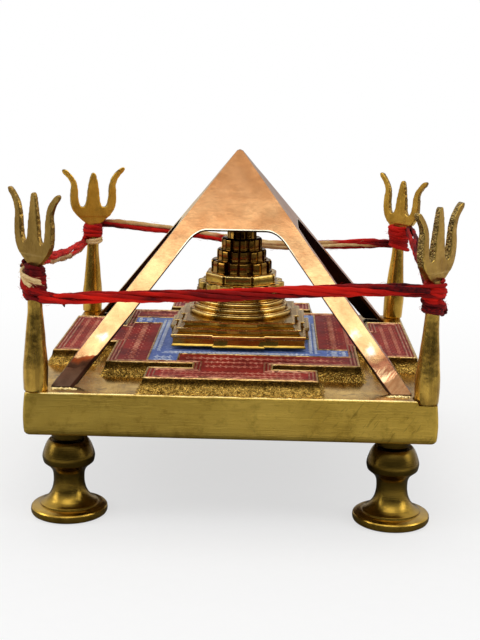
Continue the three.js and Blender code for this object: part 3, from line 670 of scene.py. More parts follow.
def wobble(points, size, amount, seed=0.0):
    """Moves points by smooth noise: `size` in mm, `amount` a number or one value per point"""
    points = np.asarray(points, float)
    amount = np.broadcast_to(np.asarray(amount, float), (len(points),))
    out = points.copy()
    for i in np.nonzero(amount)[0]:
        p = points[i]
        v = noise.noise_vector(Vector((p[0] / size + seed, p[1] / size - seed, p[2] / size + 2 * seed)))
        out[i] += np.array(v) * amount[i]
    return out


LINE_WIDTH, LINE_FOOT = 0.5, 37.08


def ridge(outline, inset, high, counts, rough):
    """A raised line along an outline, at `inset` from it, closed below"""
    half, low = LINE_WIDTH / 2, LINE_FOOT
    shape = [(-half, low - 0.4), (-half, low), (-half * 0.55, high), (half * 0.55, high), (half, low),
             (half, low - 0.4)]
    rings = []
    for off, z in shape:
        ring = at_height(dense(outline(inset + off), counts), z)
        rings.append(wobble(ring, 0.7, rough if z >= high else 0.0, seed=inset))
    return loft(rings, closed=True)


# Plate

def round_square(half, radius, steps, per_side):
    """Rounded square with `per_side` points along each straight side, counter-clockwise"""
    points = []
    for q in range(4):
        corner = []
        for i in range(steps + 1):
            a = -math.pi / 2 + (i / steps) * (math.pi / 2)
            corner.append((half - radius + radius * math.cos(a), -(half - radius) + radius * math.sin(a)))
        start = corner[-1]
        end = (half, half - radius)
        side = [(start[0], start[1] + (end[1] - start[1]) * k / per_side) for k in range(1, per_side)]
        points += turned(corner + side, q)
    return np.array(points)


PLATE_MATS = ("side", "top", "rough", "edge")
CAVITY_LONG, CAVITY_SHORT, CAVITY_TOP = 45.5, 32.5, 29.3


def make_plate():
    thick = PLATE_TOP - PLATE_LOW
    # Height above the low side and half width, with rounded edges and a slight draft
    levels = [(0.0, 49.2), (0.18, 49.42), (0.7, 49.78), (1.8, 49.92), (thick * 0.4, 50.0),
              (thick * 0.6, 49.93), (thick * 0.75, 49.82), (thick * 0.9, 49.68), (thick - 0.42, 49.6),
              (thick - 0.2, 49.5), (thick - 0.06, 49.34), (thick, 49.1)]
    rings = []
    for z, half in levels:
        ring = at_height(round_square(half, 0.9, 6, 90), PLATE_LOW + z)
        edge = 0.1 if z > thick - 0.4 else 0.03
        moved = wobble(ring, 6.0, edge, seed=3.1)
        limit = min(half + 0.04, PLATE_HALF)
        moved[:, :2] = np.clip(moved[:, :2], -limit, limit)
        moved[:, 2] = np.minimum(moved[:, 2], PLATE_TOP)
        rings.append(moved)
    rings[-1][:, 2] = PLATE_TOP
    rings[0][:, 2] = PLATE_LOW
    # The top edge bands take the painted highlight
    bands = [3 if z >= thick - 0.25 else 0 for z, _ in levels[:-1]]
    verts, faces, mats = loft(rings, caps=True, cap_mat=1, band_mats=bands)
    plate = new_object("base_plate_body", verts, faces)
    plate.data.polygons.foreach_set("material_index", np.array(mats, np.int32))
    for mat in PLATE_MATS:
        plate.data.materials.append(MAT[mat])
    cutters = []
    for a, b in ((CAVITY_LONG, CAVITY_SHORT), (CAVITY_SHORT, CAVITY_LONG)):
        outline = dense([(-a, -b), (a, -b), (a, b), (-a, b)], [60] * 4)
        rings = [at_height(outline * 1.004, PLATE_LOW - 1), at_height(outline, CAVITY_TOP)]
        cutters.append(loft(rings, caps=True))
    above = PLATE_TOP + 1
    holes = [(PLATE_TOP - 6.7, 1.6, 1.6, 32, (x * TRI_AT, y * TRI_AT, 0)) for _, x, y in CORNERS]
    holes.append((PLATE_TOP - 1.1, 3.3, 3.35, 48, (TRI_AT, -TRI_AT, 0)))
    holes.append((PLATE_LOW, 2.3, 2.3, 32, (MERU_SHIFT, 0, 0)))
    for low, radius, mouth, segments, place in holes:
        cutters.append(lathe([(0, low), (radius, low), (mouth, above), (0, above)], segments, place))
    for i, (v, f, _) in enumerate(cutters):
        cut = new_object(f"cut_{i}", v, f)
        cut.data.materials.append(MAT["rough"])
        boolean = plate.modifiers.new("cut", "BOOLEAN")
        boolean.operation = "DIFFERENCE"
        boolean.solver = "EXACT"
        boolean.material_mode = "TRANSFER"
        boolean.object = cut
        apply_modifiers(plate)
        bpy.data.objects.remove(cut)
    plate.data.transform(Matrix.Scale(MM, 4))
    index = [p.material_index for p in plate.data.polygons]
    names = [m.name for m in plate.data.materials]
    lookup = {MAT[k].name: i for i, k in enumerate(PLATE_MATS)}
    finish_piece(plate, "plate", PLATE_MATS,
                 [lookup.get(names[i], 0) for i in index], sharp=32, replaces=("base_plate",))


BOSS_HIGH = 3.2


def make_bosses():
    """Round bosses under the plate that the feet screw to"""
    bosses = []
    low = PLATE_LOW - BOSS_HIGH
    for _, x, y in CORNERS:
        profile = [(0, low), (3.7, low), (4.05, low + 0.12), (4.2, low + 0.4), (4.2, low + 2.4),
                   (4.35, low + 2.9), (4.7, low + 3.3), (0, low + 3.35)]
        v, f, m = lathe(profile, 64, (x * FOOT_AT, y * FOOT_AT, 0))
        bosses.append((wobble(v, 1.6, 0.03), f, m))
    piece("foot_bosses", merge(bosses), ("foot",), sharp=40)


RELIEF_STEP = 0.42
LINE_INSETS = (1.05, 2.0)
RELIEF_LIMIT = 49.3


def make_relief():
    counts = counts_for(gate(0), RELIEF_STEP)
    # How far each ring of the wall stands out, its height and its roughness, from the foot up
    walls = [(2.3, 33.4, 0.0), (2.05, 33.46, 0.1), (1.8, 33.5, 0.16), (1.5, 33.6, 0.22), (1.25, 33.8, 0.24),
             (1.05, 34.1, 0.22), (0.9, 34.4, 0.18), (0.78, 34.75, 0.13), (0.66, 35.15, 0.08),
             (0.54, 35.55, 0.06), (0.43, 35.95, 0.05), (0.33, 36.3, 0.05), (0.24, 36.65, 0.05),
             (0.16, 36.95, 0.05), (0.08, 37.15, 0.05), (-0.02, 37.3, 0.05), (-0.12, 37.37, 0.05),
             (-0.34, 37.35, 0.05), (-0.44, 37.2, 0.02), (-0.48, 36.9, 0.0)]
    rings, bands = [], []
    for grow, z, amount in walls:
        ring = at_height(dense(gate(grow), counts), z)
        moved = wobble(wobble(ring, 1.1, amount, seed=3.3), 0.5, amount * 0.9, seed=7.3)
        moved[:, :2] = np.clip(moved[:, :2], -RELIEF_LIMIT, RELIEF_LIMIT)
        rings.append(moved)
        bands.append(0 if z < 37.1 else 1)
    low = at_height(dense(gate(2.3), counts), 33.1)
    part = loft([low] + rings, caps=True, band_mats=[0] + bands)
    piece("relief_walls", part, ("rough", "rim"), sharp=60)
    lines = [ridge(lambda shrink: gate(-shrink), inset, 37.3, counts, 0.12) for inset in LINE_INSETS]
    piece("relief_lines", merge(lines), ("line",), sharp=60)
    counts = counts_for(blue_field(0), RELIEF_STEP)
    part = ridge(blue_field, 0.0, 37.28, counts, 0.08)
    piece("field_dividers", part, ("rim",), sharp=60)


FILL_GAP, FILL_STEP = 0.15, 0.6


def make_enamel():
    counts = counts_for(red_field(FILL_GAP), FILL_STEP)
    for quarter, side in enumerate(("front", "right", "rear", "left")):
        rings = []
        for shrink, z in ((FILL_GAP, 36.8), (FILL_GAP, 37.06), (0.3, 37.12), (0.55, 37.1)):
            ring = at_height(dense(turned(red_field(shrink), quarter), counts), z)
            rings.append(wobble(ring, 1.5, 0.03 if z > 37 else 0.0))
        piece(f"enamel_red_{side}_fill", loft(rings, caps=True), ("red",),
              sharp=50, replaces=(f"enamel_red_{side}",))
    counts = counts_for(blue_field(FILL_GAP), FILL_STEP)
    rings = [at_height(dense(blue_field(shrink), counts), z)
             for shrink, z in ((FILL_GAP, 36.8), (FILL_GAP, 37.04), (0.35, 37.1))]
    piece("enamel_blue_fill", loft(rings, caps=True), ("blue",), sharp=50,
          replaces=("enamel_blue_ring",))


def stroke(points, radius, sides=6, flat=0.75):
    """A raised brush-like stroke that thins at both ends"""
    points = [np.asarray(p, float) for p in points]
    rings = []
    for i, p in enumerate(points):
        ahead = points[min(i + 1, len(points) - 1)] - points[max(i - 1, 0)]
        ahead /= max(np.linalg.norm(ahead), 1e-6)
        side = np.array([-ahead[1], ahead[0], 0])
        t = i / (len(points) - 1)
        r = radius * (0.35 + 0.65 * math.sin(math.pi * t) ** 0.6)
        ring = [p + side * r * math.cos(a) + np.array([0, 0, flat * r * math.sin(a)])
                for a in whole_turn(sides)]
        rings.append(np.array(ring))
    return loft(rings, caps=True)


def vine(x0, y0, length, high, thick, z):
    """A running vine between x0 and x0 + length: one wavy stem, with a leaf and a berry in every bend"""
    bends = max(3, round(length / (0.75 + 0.45 * high)))
    bend = length / bends
    swing = 0.26 * high

    def stem(u):
        return np.array([x0 + bend * u, y0 + swing * math.sin(math.pi * u), z])

    parts = [stroke([stem(u) for u in np.linspace(0, bends, bends * 6 + 1)], thick * 0.85)]
    for k in range(bends):
        up = 1 if k % 2 else -1
        root, tip = stem(k + 0.25), stem(k + 0.72) + np.array([0, up * 0.62 * high, 0])
        middle = (root + tip) / 2 + np.array([-0.12 * bend, up * 0.1 * high, 0])
        parts.append(stroke([root, (root + middle) / 2, middle, (tip + middle) / 2, tip], thick))
        if high > 1.2:
            berry = stem(k + 0.5) - np.array([0, up * 0.42 * high, 0])
            parts.append(stroke([berry + np.array([s * thick, 0, 0]) for s in (-1, 0, 1)], thick))
    return parts


def make_burrs():
    """Ragged bright strips of filed metal in front of the pyramid's two front feet"""
    parts = []
    for x0, x1, seed in ((-43.9, -37.4, 2.0), (37.6, 43.4, 9.0)):
        rings = []
        count = 34
        for i in range(count):
            s = i / (count - 1)
            swell = 0.45 + 0.55 * math.sin(math.pi * s) ** 0.5
            x = x0 + (x1 - x0) * s
            y = -45.95 + 0.3 * noise_at(x / 1.3, seed, 0)
            ring = [(x, y + 0.75 * swell * math.cos(a), PLATE_TOP + 0.46 * swell * math.sin(a) - 0.06)
                    for a in whole_turn(14)]
            rings.append(wobble(np.array(ring), 0.55, 0.2, seed=seed))
        for ring in rings:
            ring[:, 2] = np.maximum(ring[:, 2], PLATE_TOP - 0.2)
        parts.append(loft(rings, caps=True))
    piece("filed_burrs", merge(parts), ("burr",), sharp=50)


def turn_part(part, quarter):
    verts, faces, mats = part
    flat = np.array(turned(verts[:, :2].tolist(), quarter))
    return np.column_stack([flat, verts[:, 2]]), faces, mats


ORNAMENT_HIGH = 37.12


def make_ornament():
    # Each row: where it starts, its length, height and thickness
    red_rows = [(-12.6, -26.3, 41.0, 2.2, 0.22), (-7.5, -30.2, 15.5, 1.4, 0.18),
                (-7.0, -34.4, 14.0, 1.9, 0.2), (-17.5, -40.7, 35.0, 1.6, 0.14),
                (-17.5, -43.4, 35.0, 1.5, 0.14)]
    blue_rows = [(-18.5, -20.0, 38.0, 1.15, 0.28), (-19.0, -21.3, 37.0, 0.8, 0.24),
                 (-20.6, -26.0, 5.0, 2.4, 0.26), (-20.6, -28.6, 5.0, 1.2, 0.22)]
    for rows, name, slot, mat in ((red_rows, "red_field_ornament", "red_enamel", "fleck_red"),
                                  (blue_rows, "blue_ring_ornament", "blue_enamel", "fleck_blue")):
        parts = [turn_part(part, quarter) for quarter in range(4) for row in rows
                 for part in vine(*row, ORNAMENT_HIGH)]
        piece(name, merge(parts), (mat,), sharp=60)


# Feet

def make_feet():
    # Radius and height, from the floor up, and the hole for the stud
    profile = [(0, 0.0), (8.5, 0.0), (8.9, 0.05), (9.3, 0.3), (9.54, 0.75), (9.6, 1.2), (9.52, 1.85),
               (9.3, 2.15), (8.8, 2.32), (8.0, 2.42), (7.45, 2.48), (7.3, 2.56), (7.26, 2.85), (7.24, 3.05),
               (7.1, 3.18), (6.9, 3.25), (6.4, 3.55), (5.85, 4.0), (5.3, 4.55), (4.85, 5.15), (4.5, 5.8),
               (4.22, 6.5), (4.0, 7.4), (3.86, 8.4), (3.84, 9.4), (3.9, 10.4), (4.03, 11.05), (4.25, 11.6),
               (4.58, 12.1), (5.02, 12.55), (5.52, 12.95), (5.95, 13.3), (6.2, 13.52), (6.27, 13.62),
               (6.4, 14.1), (6.52, 14.7), (6.55, 15.1), (6.46, 15.7), (6.26, 16.4), (6.02, 17.1),
               (5.76, 17.8), (5.45, 18.45), (5.15, 18.95), (4.8, 19.3), (1.8, 19.3), (1.8, 11.0), (0, 11.0)]
    for name, x, y in CORNERS:
        part = lathe(profile, 112, (x * FOOT_AT, y * FOOT_AT, 0))
        piece(f"foot_{name}_turned", part, ("foot",), sharp=24, replaces=(f"foot_{name}",))


# Trishuls

TRISHULS = [
    dict(turn=-42, lean=0.5, rise=3.2, sunk=0.0, tines=(-0.3, -0.6, -0.7), thick=1.35),
    dict(turn=50, lean=1.2, rise=2.2, sunk=1.1, tines=(-1.1, 0.0, 0.2), thick=1.95),
    dict(turn=-48, lean=2.4, rise=-0.4, sunk=0.0, tines=(-1.0, -2.2, -1.8), thick=1.35),
    dict(turn=18, lean=1.0, rise=0.0, sunk=0.0, tines=(-1.3, -2.0, -0.6), thick=1.5),
]
NECK_HIGH = 29.0
FUSE_VOXEL = 0.22


def head_half(tall, mid):
    """Right half of a head's outline as (control, end) points, from the neck to the middle tine's tip"""
    return [((3.3, -1.0), (4.9, 0.5)), ((6.9, 2.3), (7.1, 5.2)), ((7.2, 8.0), (6.9, 10.4 + tall / 2)),
            ((7.1, 13.0 + tall), (9.4, 14.9 + tall)), ((10.2, 16.2 + tall), (9.2, 16.3 + tall)),
            ((8.0, 16.2 + tall), (6.0, 13.6 + tall)), ((4.8, 11.5 + tall / 2), (4.7, 7.5)),
            ((4.6, 3.5), (3.4, 3.4)), ((2.2, 3.4), (2.05, 5.8)), ((1.7, 10), (0.95, 14.6 + mid)),
            ((0.7, 16.0 + mid), (0, 16 + mid))]


def head_outline(tines):
    left, middle, right = tines
    halves = []
    for tall in (right, left):
        points = [(1.75, -4.0), (1.8, -2.0)]
        for control, end in head_half(tall, middle):
            start = points[-1]
            points += [quadratic(start, control, end, k / 8) for k in range(1, 9)]
        halves.append(points)
    return halves[0] + [(-x, z) for x, z in reversed(halves[1][:-1])]


def lean_matrix(index):
    _, x, y = CORNERS[index]
    setting = TRISHULS[index]
    place = Matrix.Translation((x * TRI_AT, y * TRI_AT, PLATE_TOP + GAP - setting["sunk"]))
    return place @ Matrix.Rotation(math.radians(setting["lean"]), 4, "Y")


def stand_matrix(index):
    return lean_matrix(index) @ Matrix.Rotation(math.radians(TRISHULS[index]["turn"]), 4, "Z")


TRISHUL_MATS = [("trishul", "flank_plain", "post"), ("trishul_pale", "flank", "post"),
                ("trishul_rear", "flank_plain", "post_rear"), ("trishul_gold", "flank_plain", "post_rear")]


def filed(points, seed, low):
    """Flats filed along a post: the radius changes with the angle, below the height `low`"""
    points = points.copy()
    for p in points:
        if p[2] < low and math.hypot(p[0], p[1]) > 1.4:
            a = math.atan2(p[1], p[0])
            flat = noise_at(1.6 * math.cos(a), 1.6 * math.sin(a), seed + p[2] / 30)
            p[:2] *= 1 + 0.07 * min(0.0, flat - 0.1)
    return points


def make_trishuls():
    for index, (name, _, _) in enumerate(CORNERS):
        setting = TRISHULS[index]
        neck = NECK_HIGH + setting["rise"]
        profile = smooth_profile([(2.8, -0.3), (2.95, 0.4), (3.05, 5.5), (2.65, 10), (2.25, 14.5), (1.8, 20),
                                  (1.8, neck - 4.4), (1.4, neck - 3.2), (0.6, neck - 2.6)], 5)
        full = [(0, -5.0), (1.3, -5.0), (1.3, -0.3)] + [tuple(p) for p in profile] + [(0, neck - 2.5)]
        verts, faces, mats = lathe(full, 72)
        post = filed(verts, index * 5.0, neck - 4), faces, mats
        outline = head_outline(setting["tines"])
        half = setting["thick"] / 2
        rings = [np.array([(px, s * half, pz + neck) for px, pz in outline]) for s in (1, -1)]
        head = loft(rings, caps=True)
        verts, faces, _ = merge([post, head])
        obj = new_object(f"trishul_{name}_cast", verts, faces)
        remesh = obj.modifiers.new("fuse", "REMESH")
        remesh.mode = "VOXEL"
        remesh.voxel_size = FUSE_VOXEL
        soften = obj.modifiers.new("soften", "SMOOTH")
        soften.factor = 0.5
        soften.iterations = 5
        apply_modifiers(obj)
        co = coordinates(obj.data)
        normals = np.array([v.normal for v in obj.data.vertices])
        above = np.clip((co[:, 2] - neck - 1) / 14, 0, 1)
        head_zone = co[:, 2] > neck + 0.5
        co[:, 1] *= np.where(head_zone, 1.12 - 0.42 * above, 1.0)
        flank = np.clip((0.8 - np.abs(normals[:, 1])) * 2, 0, 1) * head_zone
        amount = 0.02 + 0.1 * flank
        bumps = np.array([noise.noise(Vector(p) / 0.9 + Vector((index * 7, 0, 0))) for p in co])
        broad = np.array([noise.noise(Vector(p) / 3.5 + Vector((index * 11, 3, 0))) for p in co])
        co += normals * (bumps * amount + broad * 0.08 * (co[:, 2] > 0))[:, None]
        set_coordinates(obj.data, co)
        sides = [2 if p.center.z < neck - 4 else int(abs(p.normal.y) < 0.5 and p.center.z > neck + 2.5)
                 for p in obj.data.polygons]
        obj.data.transform(Matrix.Scale(MM, 4) @ stand_matrix(index))
        finish_piece(obj, "plate", TRISHUL_MATS[index], sides, sharp=50,
                     replaces=(f"trishul_{name}",))


# Meru

TIER_OUT = 1.15
SQUARE_TIERS = [(17.5, 6.8, 3.3), (16.2, 6.0, 1.5), (14.6, 5.2, 1.6)]
ROUND_TIERS = [14.0, 13.0, 12.0, 11.2]
# One bay of a star tier as (share of its width, depth): paired lobes, broad steps, or teeth
PAIR_SHAPE = ((-0.5, 1.3), (-0.385, 1.3), (-0.37, 0.1), (-0.345, 0.0), (-0.06, 0.0), (-0.045, 0.1),
              (0.0, 0.5), (0.045, 0.1), (0.06, 0.0), (0.345, 0.0), (0.37, 0.1), (0.385, 1.3))
STEP_SHAPE = ((-0.5, 0.6), (-0.47, 0.55), (-0.46, 0.08), (-0.43, 0.0), (0.43, 0.0), (0.46, 0.08),
              (0.47, 0.55))
TOOTH_SHAPE = ((-0.5, 0.7), (-0.25, 0.2), (0.0, 0.0), (0.25, 0.2))
STAR_TURN = math.radians(-4)
# Bays, shape of one bay, radius and height of each star tier, from the lowest up
STAR_TIERS = [(16, STEP_SHAPE, 12.3, 1.2), (16, TOOTH_SHAPE, 12.0, 1.9), (8, STEP_SHAPE, 10.1, 2.5),
              (8, PAIR_SHAPE, 8.4, 3.2), (8, PAIR_SHAPE, 6.85, 2.9), (8, PAIR_SHAPE, 5.6, 3.1),
              (8, PAIR_SHAPE, 4.05, 2.8)]
# Star tiers wider than this radius get a painted highlight on their ledges
BRIGHT_LEDGES = 9.0


def tier_outline(half, middle, out):
    side = [(-half, -half), (-middle, -half), (-middle, -half - out), (middle, -half - out), (middle, -half)]
    return [p for q in range(4) for p in turned(side, q)]


def star_outline(bays, outer, inner, shape):
    """Bays round a circle, turned a little; `shape` goes from the outer radius to the inner one"""
    step = 2 * math.pi / bays
    outline = []
    for i in range(bays):
        at = -math.pi / 2 + i * step + STAR_TURN
        for share, depth in shape:
            radius = outer + (inner - outer) * depth
            outline.append((radius * math.cos(at + share * step), radius * math.sin(at + share * step)))
    return outline


def make_meru():
    parts = []
    z = PLATE_TOP + 3.75 + 0.75
    pad = dense([(-11, -11), (11, -11), (11, 11), (-11, 11)], [8] * 4)
    parts.append(loft([at_height(pad, PLATE_TOP + 3.8), at_height(pad, z + 0.2)], caps=True))
    for half, middle, high in SQUARE_TIERS:
        counts = counts_for(tier_outline(half, middle, TIER_OUT), 0.8)
        # Share of the tier's height, inset and material number; material 1 paints the highlight on the upper
        # part
        levels = [(0.0, 0.06, 0), (0.03, -0.04, 0), (0.09, -0.08, 0), (0.15, 0.1, 0), (0.22, 0.26, 0),
                  (0.64, 0.3, 1), (0.72, 0.12, 1), (0.79, -0.1, 1), (0.93, -0.12, 1), (0.98, -0.02, 1),
                  (1.0, 0.2, 1), (1.0, 0.5, 0)]
        rings = []
        for share, inset, _ in levels:
            outline = tier_outline(half + 0.1 - inset, middle - inset, TIER_OUT)
            ring = at_height(dense(outline, counts), z + share * high)
            rings.append(wobble(ring, 2.4, 0.06, seed=half))
        parts.append(loft(rings, caps=True, band_mats=[m for _, _, m in levels[:-1]]))
        z += high
    for radius in ROUND_TIERS:
        bead = [(0, z - 0.2), (radius - 0.45, z - 0.2), (radius - 0.4, z + 0.05), (radius - 0.2, z + 0.2),
                (radius - 0.02, z + 0.4), (radius + 0.06, z + 0.65), (radius, z + 0.9),
                (radius - 0.2, z + 1.12), (radius - 0.5, z + 1.25), (radius - 0.8, z + 1.3),
                (radius - 0.85, z + 1.4), (0, z + 1.42)]
        v, f, _ = lathe(bead, 96)
        moved = wobble(v, 3.0, 0.1, seed=radius)
        # Bead tops take the painted highlight
        tops = [int(sum(v[i][2] for i in face) / len(face) > z + 0.85) for face in f]
        parts.append((moved, f, tops))
        z += 1.4
    for bays, shape, radius, high in STAR_TIERS:
        counts = counts_for(star_outline(bays, radius, radius * 0.8, shape), 0.4)
        wall, ledge = (0, 3) if radius > BRIGHT_LEDGES else (2, 2)
        # Share of the tier's height, share of its radius and material number; material 2, the darker crown
        # brass, paints shade at each tier's foot and top, and the large tiers' ledges take the painted
        # highlight
        levels = [(-0.1, 1.0, 2), (0.0, 1.005, 2), (0.05, 1.005, 2), (0.1, 0.985, wall), (0.8, 0.985, ledge),
                  (0.9, 0.97, ledge), (0.96, 0.945, ledge), (0.995, 0.91, ledge), (1.0, 0.86, 2)]
        rings = []
        for share, scale, _ in levels:
            outline = star_outline(bays, radius * scale, radius * (scale - 0.17), shape)
            rings.append(wobble(at_height(dense(outline, counts), z + share * high), 2.2, 0.03, seed=radius))
        parts.append(loft(rings, caps=True, band_mats=[m for _, _, m in levels[:-1]],
                          cap_mat=2))
        z += high
    bindu = lathe(smooth_profile([(0, z - 0.2), (2.1, z - 0.2), (2.2, z + 0.3), (2.15, z + 1.2),
                                  (1.6, z + 2.2), (0.5, z + 2.9), (0, z + 3.0)], 4), 32)
    parts.append((bindu[0], bindu[1], [2] * len(bindu[1])))
    verts, faces, mats = merge(parts)
    verts[:, 0] += MERU_SHIFT
    piece("meru_cast", (verts, faces, mats), ("meru", "lip", "crown", "lip"), sharp=32,
          replaces=("meru_yantra",))


# Copper pyramid

def face_outline():
    """Left-to-right outline of one face in (u, z), u along the side"""
    def edge(z):
        return PYR_HALF * (1 - z / PYR_HIGH)
    outer = [(edge(z), z) for z in np.linspace(0, PYR_HIGH, 57)]
    inner = [(edge(z) - PYR_LEG, z) for z in np.linspace(0, WINDOW_HIGH - WINDOW_CORNER, 34)]
    corner = (edge(WINDOW_HIGH) - PYR_LEG, WINDOW_HIGH)
    start = inner[-1]
    end = (corner[0] - WINDOW_CORNER, WINDOW_HIGH)
    inner += [quadratic(start, corner, end, k / 8) for k in range(1, 8)]
    top = [(u, WINDOW_HIGH) for u in np.linspace(end[0], 0, 7)]
    return outer, inner + top


def make_pyramid():
    outer, inner = face_outline()
    outline = outer + [(-u, z) for u, z in reversed(outer[:-1])]
    outline += [(-u, z) for u, z in inner[:-1]] + inner[::-1]
    count = len(outline)
    grid = []
    half_slope = PYR_HALF / PYR_HIGH
    for z in np.arange(0.7, PYR_HIGH, 1.0):
        w = PYR_HALF - half_slope * z
        for u in np.arange(-math.floor(w), w, 1.1):
            in_window = z < WINDOW_HIGH + 0.5 and abs(u) < w - PYR_LEG + 0.5
            if abs(u) <= w - 0.5 and not in_window:
                grid.append((u, z))
    points = [Vector(p) for p in outline + grid]
    edges = [(i, (i + 1) % count) for i in range(count)]
    flat, _, tris, _, _, _ = geometry.delaunay_2d_cdt(points, edges, [tuple(range(count))], 1, 1e-5)
    base_z = PLATE_TOP + 0.12
    verts, faces = [], []
    for q in range(4):
        start = len(verts)
        for p in flat:
            depth = PYR_HALF * (1 - p.y / PYR_HIGH)
            x, y = turned([(p.x, -depth)], q)[0]
            verts.append((x, y, p.y))
        faces += [tuple(i + start for i in t) for t in tris]
    obj = new_object("copper_pyramid_sheet", verts, faces)
    weld = obj.modifiers.new("weld", "WELD")
    weld.merge_threshold = 0.01
    apply_modifiers(obj)
    mesh = obj.data
    co = coordinates(mesh)
    normals = np.array([v.normal for v in mesh.vertices])
    if normals[:, 2].mean() < 0:
        mesh.flip_normals()
        normals = -normals
    push = np.zeros(len(co))
    for i, p in enumerate(co):
        v = Vector(p)
        foot = max(0.0, 1 - p[2] / 13)
        push[i] = noise.noise(v / 7) * 0.12 * min(1, (PYR_HIGH - p[2]) / 6)
        push[i] += noise.noise(v / 2.4 + Vector((5, 0, 0))) * 0.3 * foot ** 1.5
    push = np.minimum(push, 0.0) - 0.02
    co += normals * push[:, None]
    co[:, 2] = np.where(co[:, 2] > PYR_HIGH - 1.0, np.minimum(co[:, 2], PYR_HIGH - 0.65), co[:, 2])
    set_coordinates(mesh, co)
    solid = obj.modifiers.new("sheet", "SOLIDIFY")
    solid.thickness = PYR_SHEET
    solid.offset = -1
    solid.use_even_offset = True
    solid.use_quality_normals = True
    solid.material_offset = 1
    for mat in ("copper", "copper_inside"):
        mesh.materials.append(MAT[mat])
    outside = len(mesh.polygons)
    apply_modifiers(obj)
    mesh = obj.data
    co = coordinates(mesh)
    co[:, 2] = np.maximum(co[:, 2], 0.0) + base_z
    set_coordinates(mesh, co)
    mesh.transform(Matrix.Scale(MM, 4))
    # Faces past the outer sheet, its inside and cut edges, take the dark copper: painted shade
    index = [int(i >= outside) for i in range(len(mesh.polygons))]
    finish_piece(obj, "pyramid", ("copper", "copper_inside"), index, sharp=30,
                 replaces=("copper_pyramid",))


# Thread

WRAPS = [(-90, 9.4, 2.4), (0, 9.1, 3.3), (90, 6.4, 0.8), (180, 7.6, 2.0)]
WRAP_TURNS = 3.25
WRAP_R = 2.7
WRAP_TAIL = 3.9
WRAP_REACH = 3.2
SPANS = [
    ("front", 0, 1, (-0.2, 0, 0.1, 0, -0.2)),
    ("right", 1, 2, (0.6, 0.9, 1, 0.8, 0.4)),
    ("rear", 2, 3, (1.3, 2.6, 2.6, 1.6, 0.5)),
    ("left", 3, 0, (0.8, 1.2, 1.2, 0.8, 0.3)),
]


YARN_SIDES = 9


def lengths_along(path):
    """Length of a path from its start to each of its points"""
    return np.concatenate([[0], np.cumsum(np.linalg.norm(np.diff(path, axis=0), axis=1))])


def smooth_path(points, step):
    """Catmull-Rom curve through 3-D points, resampled at about `step`"""
    curve = np.array(smooth_profile(points, 24))
    run = lengths_along(curve)
    count = max(4, int(run[-1] / step))
    at = np.linspace(0, run[-1], count + 1)
    return np.column_stack([np.interp(at, run, curve[:, k]) for k in range(3)]), at


def frames(path):
    """Tangent, normal and binormal along a path, with as little twist as possible"""
    tangent = np.gradient(path, axis=0)
    tangent /= np.linalg.norm(tangent, axis=1)[:, None]
    normal = np.zeros_like(path)
    n = np.array([0.0, 0.0, 1.0])
    for i, t in enumerate(tangent):
        n = n - t * np.dot(n, t)
        n /= np.linalg.norm(n)
        normal[i] = n
    return tangent, normal, np.cross(tangent, normal)


def off_axis(radius, angles, normal, side):
    """Steps away from a path, at angles counted from its normal"""
    return normal * (radius * np.cos(angles))[:, None] + side * (radius * np.sin(angles))[:, None]


def yarn_tube(path, radius, ply_pitch, phase):
    """A yarn of two twisted plies along a path, uneven in thickness and thinner at its ends"""
    _, normal, side = frames(path)
    run = lengths_along(path)
    rings = []
    angles = whole_turn(YARN_SIDES)
    for i, p in enumerate(path):
        twist = phase + 2 * math.pi * run[i] / ply_pitch
        taper = min(1.0, 0.35 + run[i] / 0.8, 0.35 + (run[-1] - run[i]) / 0.8)
        uneven = 1 + 0.22 * noise_at(run[i] / 2.6, phase * 3.1, 0)
        r = radius * taper * uneven * (1 + 0.08 * np.cos(2 * (angles - twist)))
        rings.append(p + off_axis(r, angles, normal[i], side[i]))
    return loft(rings, caps=True)


def wrap_points(index):
    start, low, high = WRAPS[index]
    neck = NECK_HIGH + TRISHULS[index]["rise"]
    return math.radians(start), neck - low, neck - high


def wrap_end(index, which):
    """Middle of the bundle where a winding ends: which 0 for its low end, -1 for its high one"""
    first, low, high = wrap_points(index)
    if which == 0:
        tail = Vector((-math.sin(first), math.cos(first), 0)) * WRAP_TAIL
        point = Vector((WRAP_R * math.cos(first), WRAP_R * math.sin(first), low)) + tail
    else:
        end = first - 2 * math.pi * WRAP_TURNS
        lead = Vector((math.sin(end), -math.cos(end), 0)) * WRAP_TAIL
        point = Vector((WRAP_R * math.cos(end), WRAP_R * math.sin(end), high)) + lead
    return np.array(lean_matrix(index) @ point)


def dye_at(cream, share, offset):
    """1 where one of the (from, to) stretches of cream covers this share of the length"""
    value = 0.0
    for a, b in cream:
        value = max(value, min(1.0, (share + offset - a) * 25, (b - share - offset) * 25))
    return max(0.0, value)


FIBRE_THICK = 0.03


def fibres(path, radius, count, rng, length):
    """Loose fibres standing off a bundle"""
    parts = []
    tangent, normal, side = frames(path)
    for _ in range(count):
        i = rng.randrange(2, len(path) - 2)
        a = rng.uniform(0, 2 * math.pi)
        out = normal[i] * math.cos(a) + side[i] * math.sin(a)
        start = path[i] + out * radius * 0.85
        along = tangent[i] * rng.choice((-1, 1))
        reach = rng.uniform(*length)
        lift = rng.uniform(0.15, 0.55)
        bend = np.array([rng.uniform(-1, 1) for _ in range(3)]) * 0.35
        rings = []
        for t in (0, 0.35, 0.7, 1.0):
            curl = math.sin(t * rng.uniform(1.6, 3.0))
            p = start + along * reach * t + out * lift * reach * curl + bend * t * t
            rings.append(np.array([p + (normal[i] * FIBRE_THICK * math.cos(b)
                                        + side[i] * FIBRE_THICK * math.sin(b)) for b in (0.3, 2.4, 4.5)]))
        parts.append(loft(rings, caps=True))
    return parts


